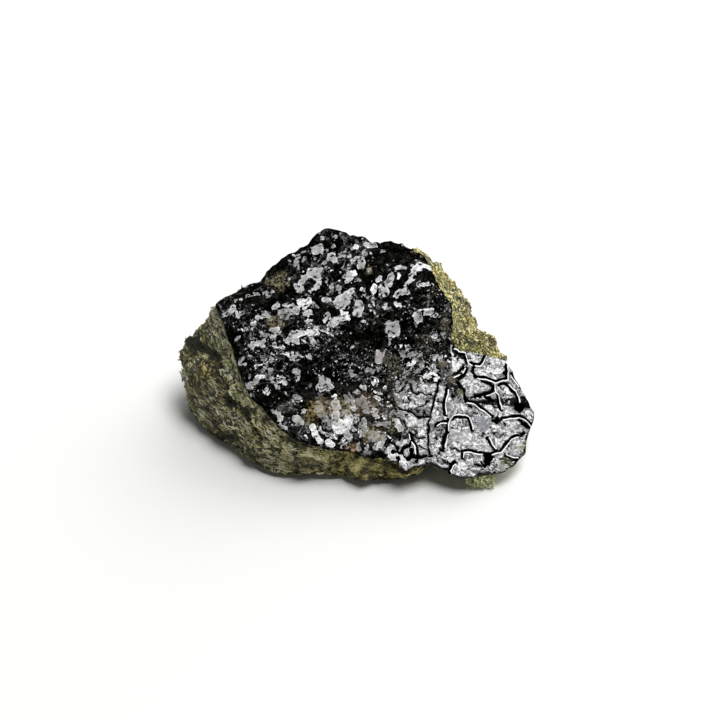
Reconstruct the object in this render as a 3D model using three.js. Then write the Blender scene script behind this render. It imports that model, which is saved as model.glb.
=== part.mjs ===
// Stone chip with a glassy black crust over its tilted top and broken, crystalline sides.
// Millimetres, +Z up. The origin lies under the middle of the chip, on the surface it rests on.
// +X runs along the chip towards its low lobe, +Y towards its high back edge.

import * as THREE from 'three';
import { mergeVertices } from 'three/addons/utils/BufferGeometryUtils.js';

// ---------------------------------------------------------------- driving values

const squares = { long: 48, short: 30, deep: 13 }; // squares of the box that is drawn out into the chip
const boxShape = { long: 7.4, short: 4.6 }; // half sides of that box in plan
const heart = [1.0, -1.7]; // the point in plan from which every outline is seen whole

// Edge of the crust in plan, clockwise from the left corner.
const rim = [
  [-6.1, 1.2], [-5.0, 1.8], [-4.1, 2.2], [-3.5, 2.75], [-2.5, 3.5], [-2.0, 3.95], [-1.3, 4.45], [-0.5, 4.2],
  [0.6, 4.0], [1.8, 4.1], [2.9, 3.6], [3.4, 2.5], [4.1, 1.6], [4.1, 0.8], [4.2, 0.45], [5.1, 0.4],
  [6.3, 0.15], [6.8, -0.5], [7.2, -1.2], [7.58, -1.85], [7.45, -2.7], [7.2, -3.6], [6.8, -4.1], [6.2, -4.5],
  [5.3, -4.7], [4.6, -4.9], [3.9, -4.7], [3.2, -4.4], [2.7, -4.5], [2.1, -4.8], [1.6, -4.5], [1.0, -4.3],
  [-0.3, -4.1], [-1.6, -4.0], [-2.5, -3.9], [-3.5, -3.2], [-4.1, -2.6], [-4.5, -2.35], [-4.9, -1.7],
  [-5.2, -0.9], [-5.4, -0.3], [-5.7, 0.4],
];

// Where the broken sides stand furthest out, or are most undercut: x, y and height.
const waist = [
  [-6.75, 1.6, 4.5], [-6.95, 1.3, 3.9], [-7.4, 0.95, 3.1], [-7.7, 0.6, 2.4], [-7.5, -0.2, 1.5],
  [-6.7, -1.5, 0.9], [-5.35, -2.65, 0.9], [-4.1, -3.8, 0.8], [-2.6, -4.15, 0.9], [-0.7, -4.3, 0.8],
  [1.0, -4.65, 0.6], [2.2, -4.65, 0.6], [3.3, -3.8, 0.5], [4.6, -4.2, 0.4], [6.0, -4.0, 0.4],
  [6.9, -3.0, 0.6], [7.1, -1.9, 0.8], [6.9, -0.8, 1.1], [6.45, 0.4, 1.5], [6.3, 1.1, 1.9], [5.95, 1.8, 2.2],
  [5.35, 2.4, 2.4], [5.3, 3.0, 2.65], [5.15, 3.45, 2.85], [4.5, 3.7, 3.3], [4.0, 4.2, 3.9], [3.65, 4.6, 4.2],
  [2.8, 4.8, 4.6], [2.0, 4.7, 4.4], [0.6, 4.8, 3.6], [-1.2, 4.9, 3.6], [-2.9, 4.2, 3.4], [-4.3, 3.3, 3.6],
  [-5.7, 2.5, 3.9],
];

// Foot of the sides in plan.
const foot = [
  [-7.35, -0.5], [-6.7, -1.55], [-5.3, -2.8], [-4.0, -3.95], [-3.5, -4.15], [-2.1, -4.2], [-0.7, -4.25],
  [0.9, -4.5], [2.1, -4.45], [3.0, -3.8], [4.2, -3.7], [5.2, -3.1], [6.0, -1.8], [6.3, -0.5], [6.0, 0.9],
  [5.4, 2.3], [4.2, 3.5], [2.2, 4.2], [0.0, 4.3], [-2.4, 3.8], [-4.4, 3.0], [-6.2, 2.0], [-7.1, 0.9],
];

// Two slopes make the top: height at the origin, rise along X and rise along Y.
const upperSlope = [4.26, -0.10, 0.52];
const lobeSlope = [3.42, -0.135, 0.39];
const seam = { from: [-4.2, -2.9], to: [4.2, 0.2], width: 1.5, lead: 1.5 }; // where one runs into the other

const crust = { thickness: 0.16, stepIn: 0.08, edgeRoll: 0.22, rollStart: 0.9 };
const ripple = { turn: 23, length: 1.25, height: 0.075, skew: 0.7, wander: 0.6 }; // skewed wrinkles, degrees
const lump = { size: 1.3, height: 0.16, lobeShare: 0.45 };
const blister = { size: 1.1, height: 0.17 }; // domed cells between the folds
const fold = { height: 0.13, halfWidth: 0.3, pull: 0.16 }; // raised folds of the lobe
const chipping = { size: 1.7, height: 0.5, fineSize: 0.8, fineHeight: 0.25, middle: 0.6 }; // broken sides
const land = { middle: [-0.9, -0.3], half: [4.9, 3.1], hollow: 0.3 }; // flat part of the underside

// Raised folds that net the lobe and cross into the upper slope, each a route in plan.
const folds = [
  [[4.24, 0.39], [4.63, 0.36], [4.89, -0.16], [5.26, -0.18], [5.62, 0.21]],
  [[4.89, -0.16], [4.6, -0.47], [4.18, -0.81]],
  [[5.02, -0.26], [5.26, -0.65], [5.99, -0.86], [6.47, -0.7], [6.53, -0.31], [6.44, 0.04]],
  [[5.99, -0.86], [5.96, -1.25], [6.17, -1.47], [6.29, -2.08]],
  [[5.96, -1.28], [5.26, -1.47]],
  [[6.47, -0.73], [6.96, -1.25], [6.99, -1.64]],
  [[4.14, -0.8], [4.48, -1.32], [4.72, -1.77], [5.08, -1.86], [5.81, -2.27]],
  [[3.66, -3.7], [3.9, -3.38], [4.03, -2.57], [4.48, -2.29], [4.93, -2.46], [4.99, -2.81]],
  [[4.01, -2.62], [3.39, -2.89]],
  [[5.87, -2.8], [5.59, -3.15], [5.81, -3.57], [6.05, -3.64]],
  [[5.78, -3.9], [6.29, -3.72], [6.56, -3.27], [6.9, -3.01]],
  [[4.6, -4.09], [4.96, -3.83], [5.56, -3.71]],
  [[6.35, -2.34], [7.08, -2.16], [7.54, -2.51]],
  [[1.68, -1.82], [2.03, -2.21], [2.46, -2.3], [2.89, -2.14], [3.19, -1.69]],
  [[1.68, -1.82], [1.94, -1.25], [2.28, -0.88]],
  [[2.07, -2.21], [2.46, -2.56], [3.15, -2.37]],
  [[3.49, -0.56], [3.58, -1.32], [3.79, -1.81], [3.75, -2.36]],
];

// A long shrinkage crack cuts the crust between the lobe and the upper slope.
const crack = { route: [[3.58, -0.05], [3.28, -1.77], [3.15, -3.05], [3.15, -4.2]], depth: 0.12 };

// ---------------------------------------------------------------- small tools

const clamp01 = (v) => Math.min(1, Math.max(0, v));
const mix = (a, b, t) => a + (b - a) * t;
const smooth = (v) => clamp01(v) ** 2 * (3 - 2 * clamp01(v));
const fraction = (v) => v - Math.floor(v);
const plane = ([height, riseX, riseY], x, y) => height + riseX * x + riseY * y;

// Repeatable random number in 0..1 for a cell of a lattice; the seed tells one use from another.
function random(i, j, k, seed) {
  const turns = i * 127.1 + j * 311.7 + k * 74.7 + seed * 53.3;
  return fraction(Math.sin(turns) * 4375.85453);
}

// Smooth noise in -1..1: the eight lattice values round the point, blended.
function noise(x, y, z, seed) {
  const cell = [x, y, z].map(Math.floor);
  const inside = [x - cell[0], y - cell[1], z - cell[2]].map(smooth);
  let sum = 0;
  for (let corner = 0; corner < 8; corner += 1) {
    const step = [corner & 1, (corner >> 1) & 1, corner >> 2];
    const share = step.reduce((s, on, axis) => s * (on ? inside[axis] : 1 - inside[axis]), 1);
    sum += share * random(cell[0] + step[0], cell[1] + step[1], cell[2] + step[2], seed);
  }
  return 2 * sum - 1;
}

// Angular chips in about 0..1: the highest of the pyramids that stand on scattered points.
function chips(x, y, z, seed) {
  const cell = [x, y, z].map(Math.floor);
  let top = -Infinity;
  for (let i = cell[0] - 1; i <= cell[0] + 1; i += 1) {
    for (let j = cell[1] - 1; j <= cell[1] + 1; j += 1) {
      for (let k = cell[2] - 1; k <= cell[2] + 1; k += 1) {
        const away = [
          x - i - random(i, j, k, seed),
          y - j - random(i, j, k, seed + 1),
          z - k - random(i, j, k, seed + 2),
        ];
        const fall = Math.abs(away[0] + away[1]) + Math.abs(away[1] - away[0]) + Math.abs(away[2]);
        top = Math.max(top, 0.6 + 0.6 * random(i, j, k, seed + 3) - 0.6 * fall);
      }
    }
  }
  return top;
}

// The nearest place in plan on any of some routes of straight stretches, and how far off it is.
function nearestOn(routes, x, y) {
  let best = { distance: Infinity, x, y };
  routes.forEach((route) => {
    for (let i = 1; i < route.length; i += 1) {
      const [ax, ay] = route[i - 1];
      const run = [route[i][0] - ax, route[i][1] - ay];
      const along = clamp01(((x - ax) * run[0] + (y - ay) * run[1]) / (run[0] ** 2 + run[1] ** 2));
      const place = { x: ax + along * run[0], y: ay + along * run[1] };
      place.distance = Math.hypot(x - place.x, y - place.y);
      if (place.distance < best.distance) {
        best = place;
      }
    }
  });
  return best;
}

// An outline as a function of direction: its radius from the heart, and any heights it carries.
function outline(points) {
  const turns = points.map(([x, y, height = 0]) => {
    const out = [x - heart[0], y - heart[1]];
    return { angle: Math.atan2(out[1], out[0]), radius: Math.hypot(...out), height };
  });
  turns.sort((a, b) => a.angle - b.angle);
  const full = 2 * Math.PI;
  const first = turns[0];
  const last = turns[turns.length - 1];
  const ring = [{ ...last, angle: last.angle - full }, ...turns, { ...first, angle: first.angle + full }];
  return (angle) => {
    const next = ring.findIndex((point) => point.angle > angle);
    const [a, b] = [ring[next - 1], ring[next]];
    const share = (angle - a.angle) / (b.angle - a.angle);
    return { radius: mix(a.radius, b.radius, share), height: mix(a.height, b.height, share) };
  };
}

const rimAt = outline(rim);
const waistAt = outline(waist);
const footAt = outline(foot);

// ---------------------------------------------------------------- the three surfaces

// Share of the lobe's slope at a point: 0 on the upper slope, 1 on the lobe.
function lobeShare(x, y) {
  const run = [seam.to[0] - seam.from[0], seam.to[1] - seam.from[1]];
  const across = ((x - seam.from[0]) * run[1] - (y - seam.from[1]) * run[0]) / Math.hypot(...run);
  return smooth((across + seam.lead) / seam.width);
}

// Skewed wrinkles of the upper slope: a steep near side, then a gentle fall to the back.
function ripples(x, y) {
  const turn = THREE.MathUtils.degToRad(ripple.turn);
  const across = y * Math.cos(turn) - x * Math.sin(turn) + ripple.wander * noise(x / 2.2, y / 2.2, 0, 11);
  const phase = (2 * Math.PI * across) / ripple.length;
  return ripple.height * Math.sin(phase + ripple.skew * Math.sin(phase));
}

// Folds stand up like tents along their routes, and the crack is let in like one upside down.
function foldRelief(x, y) {
  const tent = (routes) => clamp01(1 - nearestOn(routes, x, y).distance / fold.halfWidth);
  return fold.height * tent(folds) - crack.depth * tent([crack.route]);
}

// Points of the squares that lie near a fold or the crack are drawn onto its line, so that it runs sharp.
function drawnToFolds(x, y) {
  const near = nearestOn([...folds, crack.route], x, y);
  const pull = clamp01(1 - (near.distance / fold.pull) ** 2);
  return [mix(x, near.x, pull), mix(y, near.y, pull)];
}

// Height of the crust: two slopes, wrinkles above, folds and a crack on the lobe, lumps all over.
function crustHeight(x, y, reach) {
  const lobe = lobeShare(x, y);
  const slopes = mix(plane(upperSlope, x, y), plane(lobeSlope, x, y), lobe);
  const lumps = lump.height * noise(x / lump.size, y / lump.size, 0, 21) * mix(1, lump.lobeShare, lobe);
  const swelling = chips(x / blister.size, y / blister.size, 0, 51) - chipping.middle;
  const blisters = blister.height * swelling * lobe;
  const roll = crust.edgeRoll * smooth((reach - crust.rollStart) / (1 - crust.rollStart)) * (1 - lobe);
  return slopes + lumps + blisters + ripples(x, y) * (1 - lobe) + foldRelief(x, y) - roll;
}

// Underside: a flat land to rest on, and a hollow, broken border round it.
function undersideHeight(x, y) {
  const away = Math.hypot((x - land.middle[0]) / land.half[0], (y - land.middle[1]) / land.half[1]);
  const hollow = smooth((away - 1) / 0.35);
  return hollow * land.hollow * (1 + 0.5 * noise(x / 0.9, y / 0.9, 0, 61));
}

// Broken sides: depth runs from 0 at the rim to 1 at the foot, over the crust's edge and the waist.
function sidePoint(angle, depth) {
  const top = rimAt(angle);
  const mid = waistAt(angle);
  const low = footAt(angle);
  const topHeight = crustHeight(...planPoint(angle, top.radius), 1);
  const lowHeight = undersideHeight(...planPoint(angle, low.radius));
  const edgeRows = 1 / squares.deep;
  const waistDepth = mix(edgeRows, 1, (topHeight - mid.height) / (topHeight - lowHeight));
  const overhang = smooth((top.radius - mid.radius + 0.5) / 0.6);
  let radius = top.radius - crust.stepIn * overhang;
  let height = topHeight - crust.thickness;
  if (depth <= edgeRows) {
    const share = depth / edgeRows;
    radius = mix(top.radius, radius, share);
    height = mix(topHeight, height, share);
  } else if (depth < waistDepth) {
    const share = (depth - edgeRows) / (waistDepth - edgeRows);
    radius = mix(radius, mid.radius, Math.sin((share * Math.PI) / 2));
    height = mix(height, mid.height, share);
  } else {
    const share = (depth - waistDepth) / (1 - waistDepth);
    radius = mix(mid.radius, low.radius, share ** 1.5);
    height = mix(mid.height, lowHeight, share);
  }
  const [x, y] = planPoint(angle, radius);
  const broken = smooth((depth - edgeRows) / 0.15) * smooth((1 - depth) / 0.12);
  const coarseAt = [x, y, height].map((v) => v / chipping.size);
  const coarse = chipping.height * (chips(...coarseAt, 31) - chipping.middle);
  const fineAt = [x, y, height].map((v) => v / chipping.fineSize);
  const fine = chipping.fineHeight * (chips(...fineAt, 41) - chipping.middle);
  return [...planPoint(angle, radius + broken * (coarse + fine)), height];
}

function planPoint(angle, radius) {
  return [heart[0] + radius * Math.cos(angle), heart[1] + radius * Math.sin(angle)];
}

// ---------------------------------------------------------------- the solid

// Each point of a box of squares goes to the crust, a side or the underside.
function stonePoint(box) {
  const angle = Math.atan2(box.y * boxShape.short, box.x * boxShape.long);
  const reach = Math.max(Math.abs(box.x), Math.abs(box.y));
  if (box.z > 0.999) {
    const flat = planPoint(angle, reach * rimAt(angle).radius);
    const [x, y] = reach < 0.96 ? drawnToFolds(...flat) : flat;
    return [x, y, crustHeight(x, y, reach)];
  }
  if (box.z < -0.999) {
    const [x, y] = planPoint(angle, reach * footAt(angle).radius);
    return [x, y, undersideHeight(x, y)];
  }
  return sidePoint(angle, (1 - box.z) / 2);
}

// Splits every square along its shorter diagonal, so that the relief runs smoothly in every direction.
// A box lists the corners a, b, d and b, c, d of each square.
function splitShort(geometry) {
  const corners = geometry.index;
  const place = (i) => new THREE.Vector3().fromBufferAttribute(geometry.attributes.position, i);
  for (let i = 0; i < corners.count; i += 6) {
    const [a, b, d, c] = [0, 1, 2, 4].map((step) => corners.getX(i + step));
    if (place(a).distanceTo(place(c)) < place(b).distanceTo(place(d))) {
      [a, b, c, a, c, d].forEach((corner, step) => corners.setX(i + step, corner));
    }
  }
}

function stoneGeometry() {
  const box = new THREE.BoxGeometry(2, 2, 2, squares.long, squares.short, squares.deep);
  box.deleteAttribute('normal');
  box.deleteAttribute('uv');
  const merged = mergeVertices(box, 1e-5);
  const places = merged.attributes.position;
  const point = new THREE.Vector3();
  for (let i = 0; i < places.count; i += 1) {
    point.fromBufferAttribute(places, i);
    places.setXYZ(i, ...stonePoint(point));
  }
  splitShort(merged);
  merged.computeVertexNormals();
  return merged;
}

const stone = new THREE.MeshStandardMaterial({ color: 0x35352d, roughness: 0.45, metalness: 0 });
const meteorite = new THREE.Mesh(stoneGeometry(), stone);
meteorite.name = 'meteorite';

const group = new THREE.Group();
group.add(meteorite);
export default group;
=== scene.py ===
# A stone chip about 15 mm long: a glossy black crust with wrinkles and a net of folds lies over its
# tilted top, and its sides are broken olive crystals. Shapes are worked out in millimetres.
import math

import bpy
import numpy as np
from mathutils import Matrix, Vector


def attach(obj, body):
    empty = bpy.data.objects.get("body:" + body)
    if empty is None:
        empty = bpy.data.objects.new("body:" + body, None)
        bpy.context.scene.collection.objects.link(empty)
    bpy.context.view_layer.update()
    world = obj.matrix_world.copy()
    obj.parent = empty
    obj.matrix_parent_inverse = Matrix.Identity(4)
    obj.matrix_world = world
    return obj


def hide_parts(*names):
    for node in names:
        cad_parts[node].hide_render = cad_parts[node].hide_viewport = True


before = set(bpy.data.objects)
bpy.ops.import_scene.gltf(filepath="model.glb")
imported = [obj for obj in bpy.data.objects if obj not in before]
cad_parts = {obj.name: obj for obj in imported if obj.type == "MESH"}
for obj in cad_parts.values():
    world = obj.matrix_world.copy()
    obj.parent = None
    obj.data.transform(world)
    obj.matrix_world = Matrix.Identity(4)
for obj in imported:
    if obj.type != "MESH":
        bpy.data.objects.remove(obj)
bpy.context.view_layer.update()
metre = 0.001  # one millimetre in metres
fullTurn = 2 * math.pi


# Every surface is worked out with these functions, over whole arrays at once. The last value of a noise
# or lattice call is its seed, which only tells one use from another
far, tiny = 99.0, 1e-9  # more than any length on the stone, and less
latticeWays, latticeRange = (127.1, 311.7, 74.7, 53.3), 4375.85453
pyramid = dict(top=0.6, topSpread=0.6, fall=0.6)


def between(low, high, share):
    # low moved towards high by share
    return low + (high - low) * share


def smooth(v):
    # 3v squared less 2v cubed, held between 0 and 1
    v = np.clip(v, 0, 1)
    return v * v * (3 - 2 * v)


def lattice(i, j, k, seed):
    # the fraction of a large sine: a repeatable random number in 0..1 for each lattice cell
    wayI, wayJ, wayK, waySeed = latticeWays
    v = np.sin(i * wayI + j * wayJ + k * wayK + seed * waySeed) * latticeRange
    return v - np.floor(v)


def noise(x, y, z, seed):
    # the eight lattice numbers round a point, blended smoothly and spread over -1..1
    cell = [np.floor(v) for v in (x, y, z)]
    inside = [smooth(v - c) for v, c in zip((x, y, z), cell)]
    total = 0
    for step in np.ndindex(2, 2, 2):
        share = 1
        for on, part in zip(step[::-1], inside):
            share = share * (part if on else 1 - part)
        total = total + share * lattice(*(c + s for c, s in zip(cell, step[::-1])), seed)
    return 2 * total - 1


def stirred(x, y, size, amount, seed):
    # each coordinate moved by up to that amount, by noise with lumps of that size
    return [v + amount * noise(x / size, y / size, 0, seed + axis) for axis, v in enumerate((x, y))]


def ringNoise(angle, coarse, fine, fineShare, seed):
    # noise that closes on itself all the way round: coarse lumps and a share of fine ones
    x, y = np.cos(angle), np.sin(angle)
    return noise(x * coarse, y * coarse, 0, seed) + fineShare * noise(x * fine, y * fine, 0, seed + 1)


def chips(x, y, z, seed):
    # the highest of the pyramids that stand on scattered points, about 0..1
    cell = [np.floor(v) for v in (x, y, z)]
    highest = np.full(np.broadcast(x, y, z).shape, -far)
    for step in np.ndindex(3, 3, 3):
        i, j, k = (c + s - 1 for c, s in zip(cell, step))
        a = x - i - lattice(i, j, k, seed)
        b = y - j - lattice(i, j, k, seed + 1)
        c = z - k - lattice(i, j, k, seed + 2)
        off = np.abs(a + b) + np.abs(b - a) + np.abs(c)
        top = pyramid["top"] + pyramid["topSpread"] * lattice(i, j, k, seed + 3)
        highest = np.maximum(highest, top - pyramid["fall"] * off)
    return highest


def scattered(x, y, long, wide, turn, seed):
    # one point stands in each cell of a turned, stretched lattice; for the nine cells round a place this
    # gives the way from their point, its squared length in cells, and three random numbers of the point
    c, s = math.cos(math.radians(turn)), math.sin(math.radians(turn))
    u, v = (x * c + y * s) / long, (y * c - x * s) / wide
    cellU, cellV = np.floor(u), np.floor(v)
    for step in np.ndindex(3, 3):
        i, j = cellU + step[0] - 1, cellV + step[1] - 1
        a, b = u - i - lattice(i, j, 0, seed), v - j - lattice(i, j, 1, seed)
        own = [lattice(i, j, k, seed) for k in (2, 3, 4)]
        yield long * a * c - wide * b * s, long * a * s + wide * b * c, a * a + b * b, own


def nearRoute(route, x, y):
    # the shortest distance in plan to a route of straight stretches, and how far to the left of its
    # way the point lies, from -1 for square to the right to 1 for square to the left
    best, left = np.full(np.shape(x), far), np.zeros(np.shape(x))
    for (ax, ay), (bx, by) in zip(route, route[1:] or route):
        rx, ry = bx - ax, by - ay
        along = np.clip(((x - ax) * rx + (y - ay) * ry) / (rx * rx + ry * ry + tiny), 0, 1)
        offX, offY = x - ax - along * rx, y - ay - along * ry
        off = np.hypot(offX, offY) + tiny
        left = np.where(off < best, (rx * offY - ry * offX) / (off * math.hypot(rx, ry) + tiny), left)
        best = np.minimum(best, off)
    return best, left


# The stone's form, as the solid has it: its rim, waist and foot in plan, a waist point with its height as
# a third number; two slopes as a height and a rise along each axis; and the relief on them
stone = dict(
    boxShape=(7.4, 4.6), heart=(1.0, -1.7),
    rim=[
        [-6.1, 1.2], [-5.0, 1.8], [-4.1, 2.2], [-3.5, 2.75], [-2.5, 3.5], [-2.0, 3.95], [-1.3, 4.45],
        [-0.5, 4.2], [0.6, 4.0], [1.8, 4.1], [2.9, 3.6], [3.4, 2.5], [4.1, 1.6], [4.1, 0.8], [4.2, 0.45],
        [5.1, 0.4], [6.3, 0.15], [6.8, -0.5], [7.2, -1.2], [7.58, -1.85], [7.45, -2.7], [7.2, -3.6],
        [6.8, -4.1], [6.2, -4.5], [5.3, -4.7], [4.6, -4.9], [3.9, -4.7], [3.2, -4.4], [2.7, -4.5],
        [2.1, -4.8], [1.6, -4.5], [1.0, -4.3], [-0.3, -4.1], [-1.6, -4.0], [-2.5, -3.9], [-3.5, -3.2],
        [-4.1, -2.6], [-4.5, -2.35], [-4.9, -1.7], [-5.2, -0.9], [-5.4, -0.3], [-5.7, 0.4],
    ],
    waist=[
        [-6.75, 1.6, 4.5], [-6.95, 1.3, 3.9], [-7.4, 0.95, 3.1], [-7.7, 0.6, 2.4], [-7.5, -0.2, 1.5],
        [-6.7, -1.5, 0.9], [-5.35, -2.65, 0.9], [-4.1, -3.8, 0.8], [-2.6, -4.15, 0.9], [-0.7, -4.3, 0.8],
        [1.0, -4.65, 0.6], [2.2, -4.65, 0.6], [3.3, -3.8, 0.5], [4.6, -4.2, 0.4], [6.0, -4.0, 0.4],
        [6.9, -3.0, 0.6], [7.1, -1.9, 0.8], [6.9, -0.8, 1.1], [6.45, 0.4, 1.5], [6.3, 1.1, 1.9],
        [5.95, 1.8, 2.2], [5.35, 2.4, 2.4], [5.3, 3.0, 2.65], [5.15, 3.45, 2.85], [4.5, 3.7, 3.3],
        [4.0, 4.2, 3.9], [3.65, 4.6, 4.2], [2.8, 4.8, 4.6], [2.0, 4.7, 4.4], [0.6, 4.8, 3.6],
        [-1.2, 4.9, 3.6], [-2.9, 4.2, 3.4], [-4.3, 3.3, 3.6], [-5.7, 2.5, 3.9],
    ],
    foot=[
        [-7.35, -0.5], [-6.7, -1.55], [-5.3, -2.8], [-4.0, -3.95], [-3.5, -4.15], [-2.1, -4.2],
        [-0.7, -4.25], [0.9, -4.5], [2.1, -4.45], [3.0, -3.8], [4.2, -3.7], [5.2, -3.1], [6.0, -1.8],
        [6.3, -0.5], [6.0, 0.9], [5.4, 2.3], [4.2, 3.5], [2.2, 4.2], [0.0, 4.3], [-2.4, 3.8], [-4.4, 3.0],
        [-6.2, 2.0], [-7.1, 0.9],
    ],
    upperSlope=(4.26, -0.10, 0.52), lobeSlope=(3.42, -0.135, 0.39),
    seam=((-4.2, -2.9), (4.2, 0.2)), seamWidth=1.5, seamLead=1.5,
    thickness=0.16, stepIn=0.08, edgeRoll=0.22, rollStart=0.9,
    rippleTurn=23, rippleLength=1.25, rippleHeight=0.075, rippleSkew=0.7, rippleWander=0.6, wanderSize=2.2,
    lumpSize=1.3, lumpHeight=0.16, lumpLobeShare=0.45, blisterSize=1.1, blisterHeight=0.07,
    chipSizes=(1.7, 0.8), chipHeights=(0.5, 0.25), chipMiddle=0.6,
    landMiddle=(-0.9, -0.3), landHalf=(4.9, 3.1), hollow=0.3, hollowRun=0.35, hollowSpread=0.5,
    hollowLump=0.9,
)
heart = np.array(stone["heart"])


def outline(points):
    # radius from the heart, and any height, against direction, straight from point to point
    places = np.array([(*p, 0.0)[:3] for p in points])
    out = places[:, :2] - heart
    angle = np.arctan2(out[:, 1], out[:, 0])
    order = np.argsort(angle)
    radius = np.hypot(out[:, 0], out[:, 1])

    def at(a):
        return [np.interp(a, angle[order], v[order], period=fullTurn) for v in (radius, places[:, 2])]
    return at


rimAt, waistAt, footAt = (outline(stone[ring]) for ring in ("rim", "waist", "foot"))


def planPoint(angle, radius):
    # from the heart, that far in that direction
    return heart[0] + radius * np.cos(angle), heart[1] + radius * np.sin(angle)


def lobeShare(x, y):
    # 0 on the upper slope, 1 on the lobe, by signed distance from the seam
    (ax, ay), (bx, by) = stone["seam"]
    across = ((x - ax) * (by - ay) - (y - ay) * (bx - ax)) / math.hypot(bx - ax, by - ay)
    return smooth((across + stone["seamLead"]) / stone["seamWidth"])


def slope(name, x, y):
    # height at the origin plus a rise along each axis
    height, riseX, riseY = stone[name]
    return height + riseX * x + riseY * y


def ripplePhase(x, y):
    # turns counted across the wrinkles, wandering with noise
    turn, size = math.radians(stone["rippleTurn"]), stone["wanderSize"]
    wander = stone["rippleWander"] * noise(x / size, y / size, 0, 11)
    return fullTurn * (y * math.cos(turn) - x * math.sin(turn) + wander) / stone["rippleLength"]


def broadHeight(x, y):
    # the two slopes, lumps over both, skewed wrinkles on the upper one and domed cells on the lobe
    lobe = lobeShare(x, y)
    height = between(slope("upperSlope", x, y), slope("lobeSlope", x, y), lobe)
    lumps = stone["lumpHeight"] * noise(x / stone["lumpSize"], y / stone["lumpSize"], 0, 21)
    height = height + lumps * between(1, stone["lumpLobeShare"], lobe)
    phase = ripplePhase(x, y)
    height = height + stone["rippleHeight"] * np.sin(phase + stone["rippleSkew"] * np.sin(phase)) * (1 - lobe)
    domes = chips(x / stone["blisterSize"], y / stone["blisterSize"], 0 * x, 51) - stone["chipMiddle"]
    return height + stone["blisterHeight"] * domes * lobe


def edgeRoll(x, y, reach):
    # the upper slope turns down towards its rim
    roll = smooth((reach - stone["rollStart"]) / (1 - stone["rollStart"]))
    return stone["edgeRoll"] * roll * (1 - lobeShare(x, y))


def undersideHeight(x, y):
    # flat at 0 inside an ellipse, a hollow broken border round it
    (mx, my), (hx, hy) = stone["landMiddle"], stone["landHalf"]
    away, size = np.hypot((x - mx) / hx, (y - my) / hy), stone["hollowLump"]
    uneven = 1 + stone["hollowSpread"] * noise(x / size, y / size, 0, 61)
    return smooth((away - 1) / stone["hollowRun"]) * stone["hollow"] * uneven


# The crust's form. Sizes and heights are in millimetres; a share or a chance runs from 0 to 1
crust = dict(
    squares=(372, 232), edgeRows=3, underStep=4,  # squares over the top; the underside's are larger
    thickness=0.17, thicknessSpread=0.5, thicknessLumps=(7, 25, 0.6), edgeCurl=1.2, edgeBulge=0.02,
    rimRagged=0.075, rimLumps=(16, 37, 0.5), rimQuiet=0.015,
    # cushions
    cushionLong=0.44, cushionWide=0.32, cushionDrop=0.12, cushionLift=0.03, warp=0.10, warpSize=0.21,
    glintShare=0.42, crestShare=0.16, patchShare=0.3, bubbleShare=0.55, lobeRun=0.6,
    litSpread=0.045, darkSpread=0.16, darkLean=0.10, plateChance=0.95, plateDrop=0.012, plateSpread=0.05,
    # smaller ones between them
    smallLong=0.17, smallWide=0.13, smallTurn=35, smallDrop=0.035, smallLean=0.16, smallWarp=0.05,
    smallWarpSize=0.12, smallPatch=1.1, smallStart=0.35, smallRun=0.4,
    # glints, folds, plates, grooves and marks
    glintTones=dict(bright=1.0, plain=0.5, dull=0.0), wideGlint=0.10, glintRise=0.05, glintWobble=0.035,
    glintWobbleSize=0.19, glintStart=0.02, glintRun=0.06, flatFrom=0.24, flatRun=0.14, reach=0.5,
    foldWobble=0.03, foldWobbleSize=0.25, plateBlend=0.3, grooveDepth=0.04, grooveWall=0.05,
    spotWobble=0.09, spotWobbleSize=0.14, lumpFade=1.5, lumpRagged=0.5, lumpRaggedSize=0.4,
    markFade=1.4, markRagged=0.35, markRaggedSize=0.35, stippleThin=0.2, stippleSpread=0.3, stippleSize=0.9,
    stippleFade=1.5,
)
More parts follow.
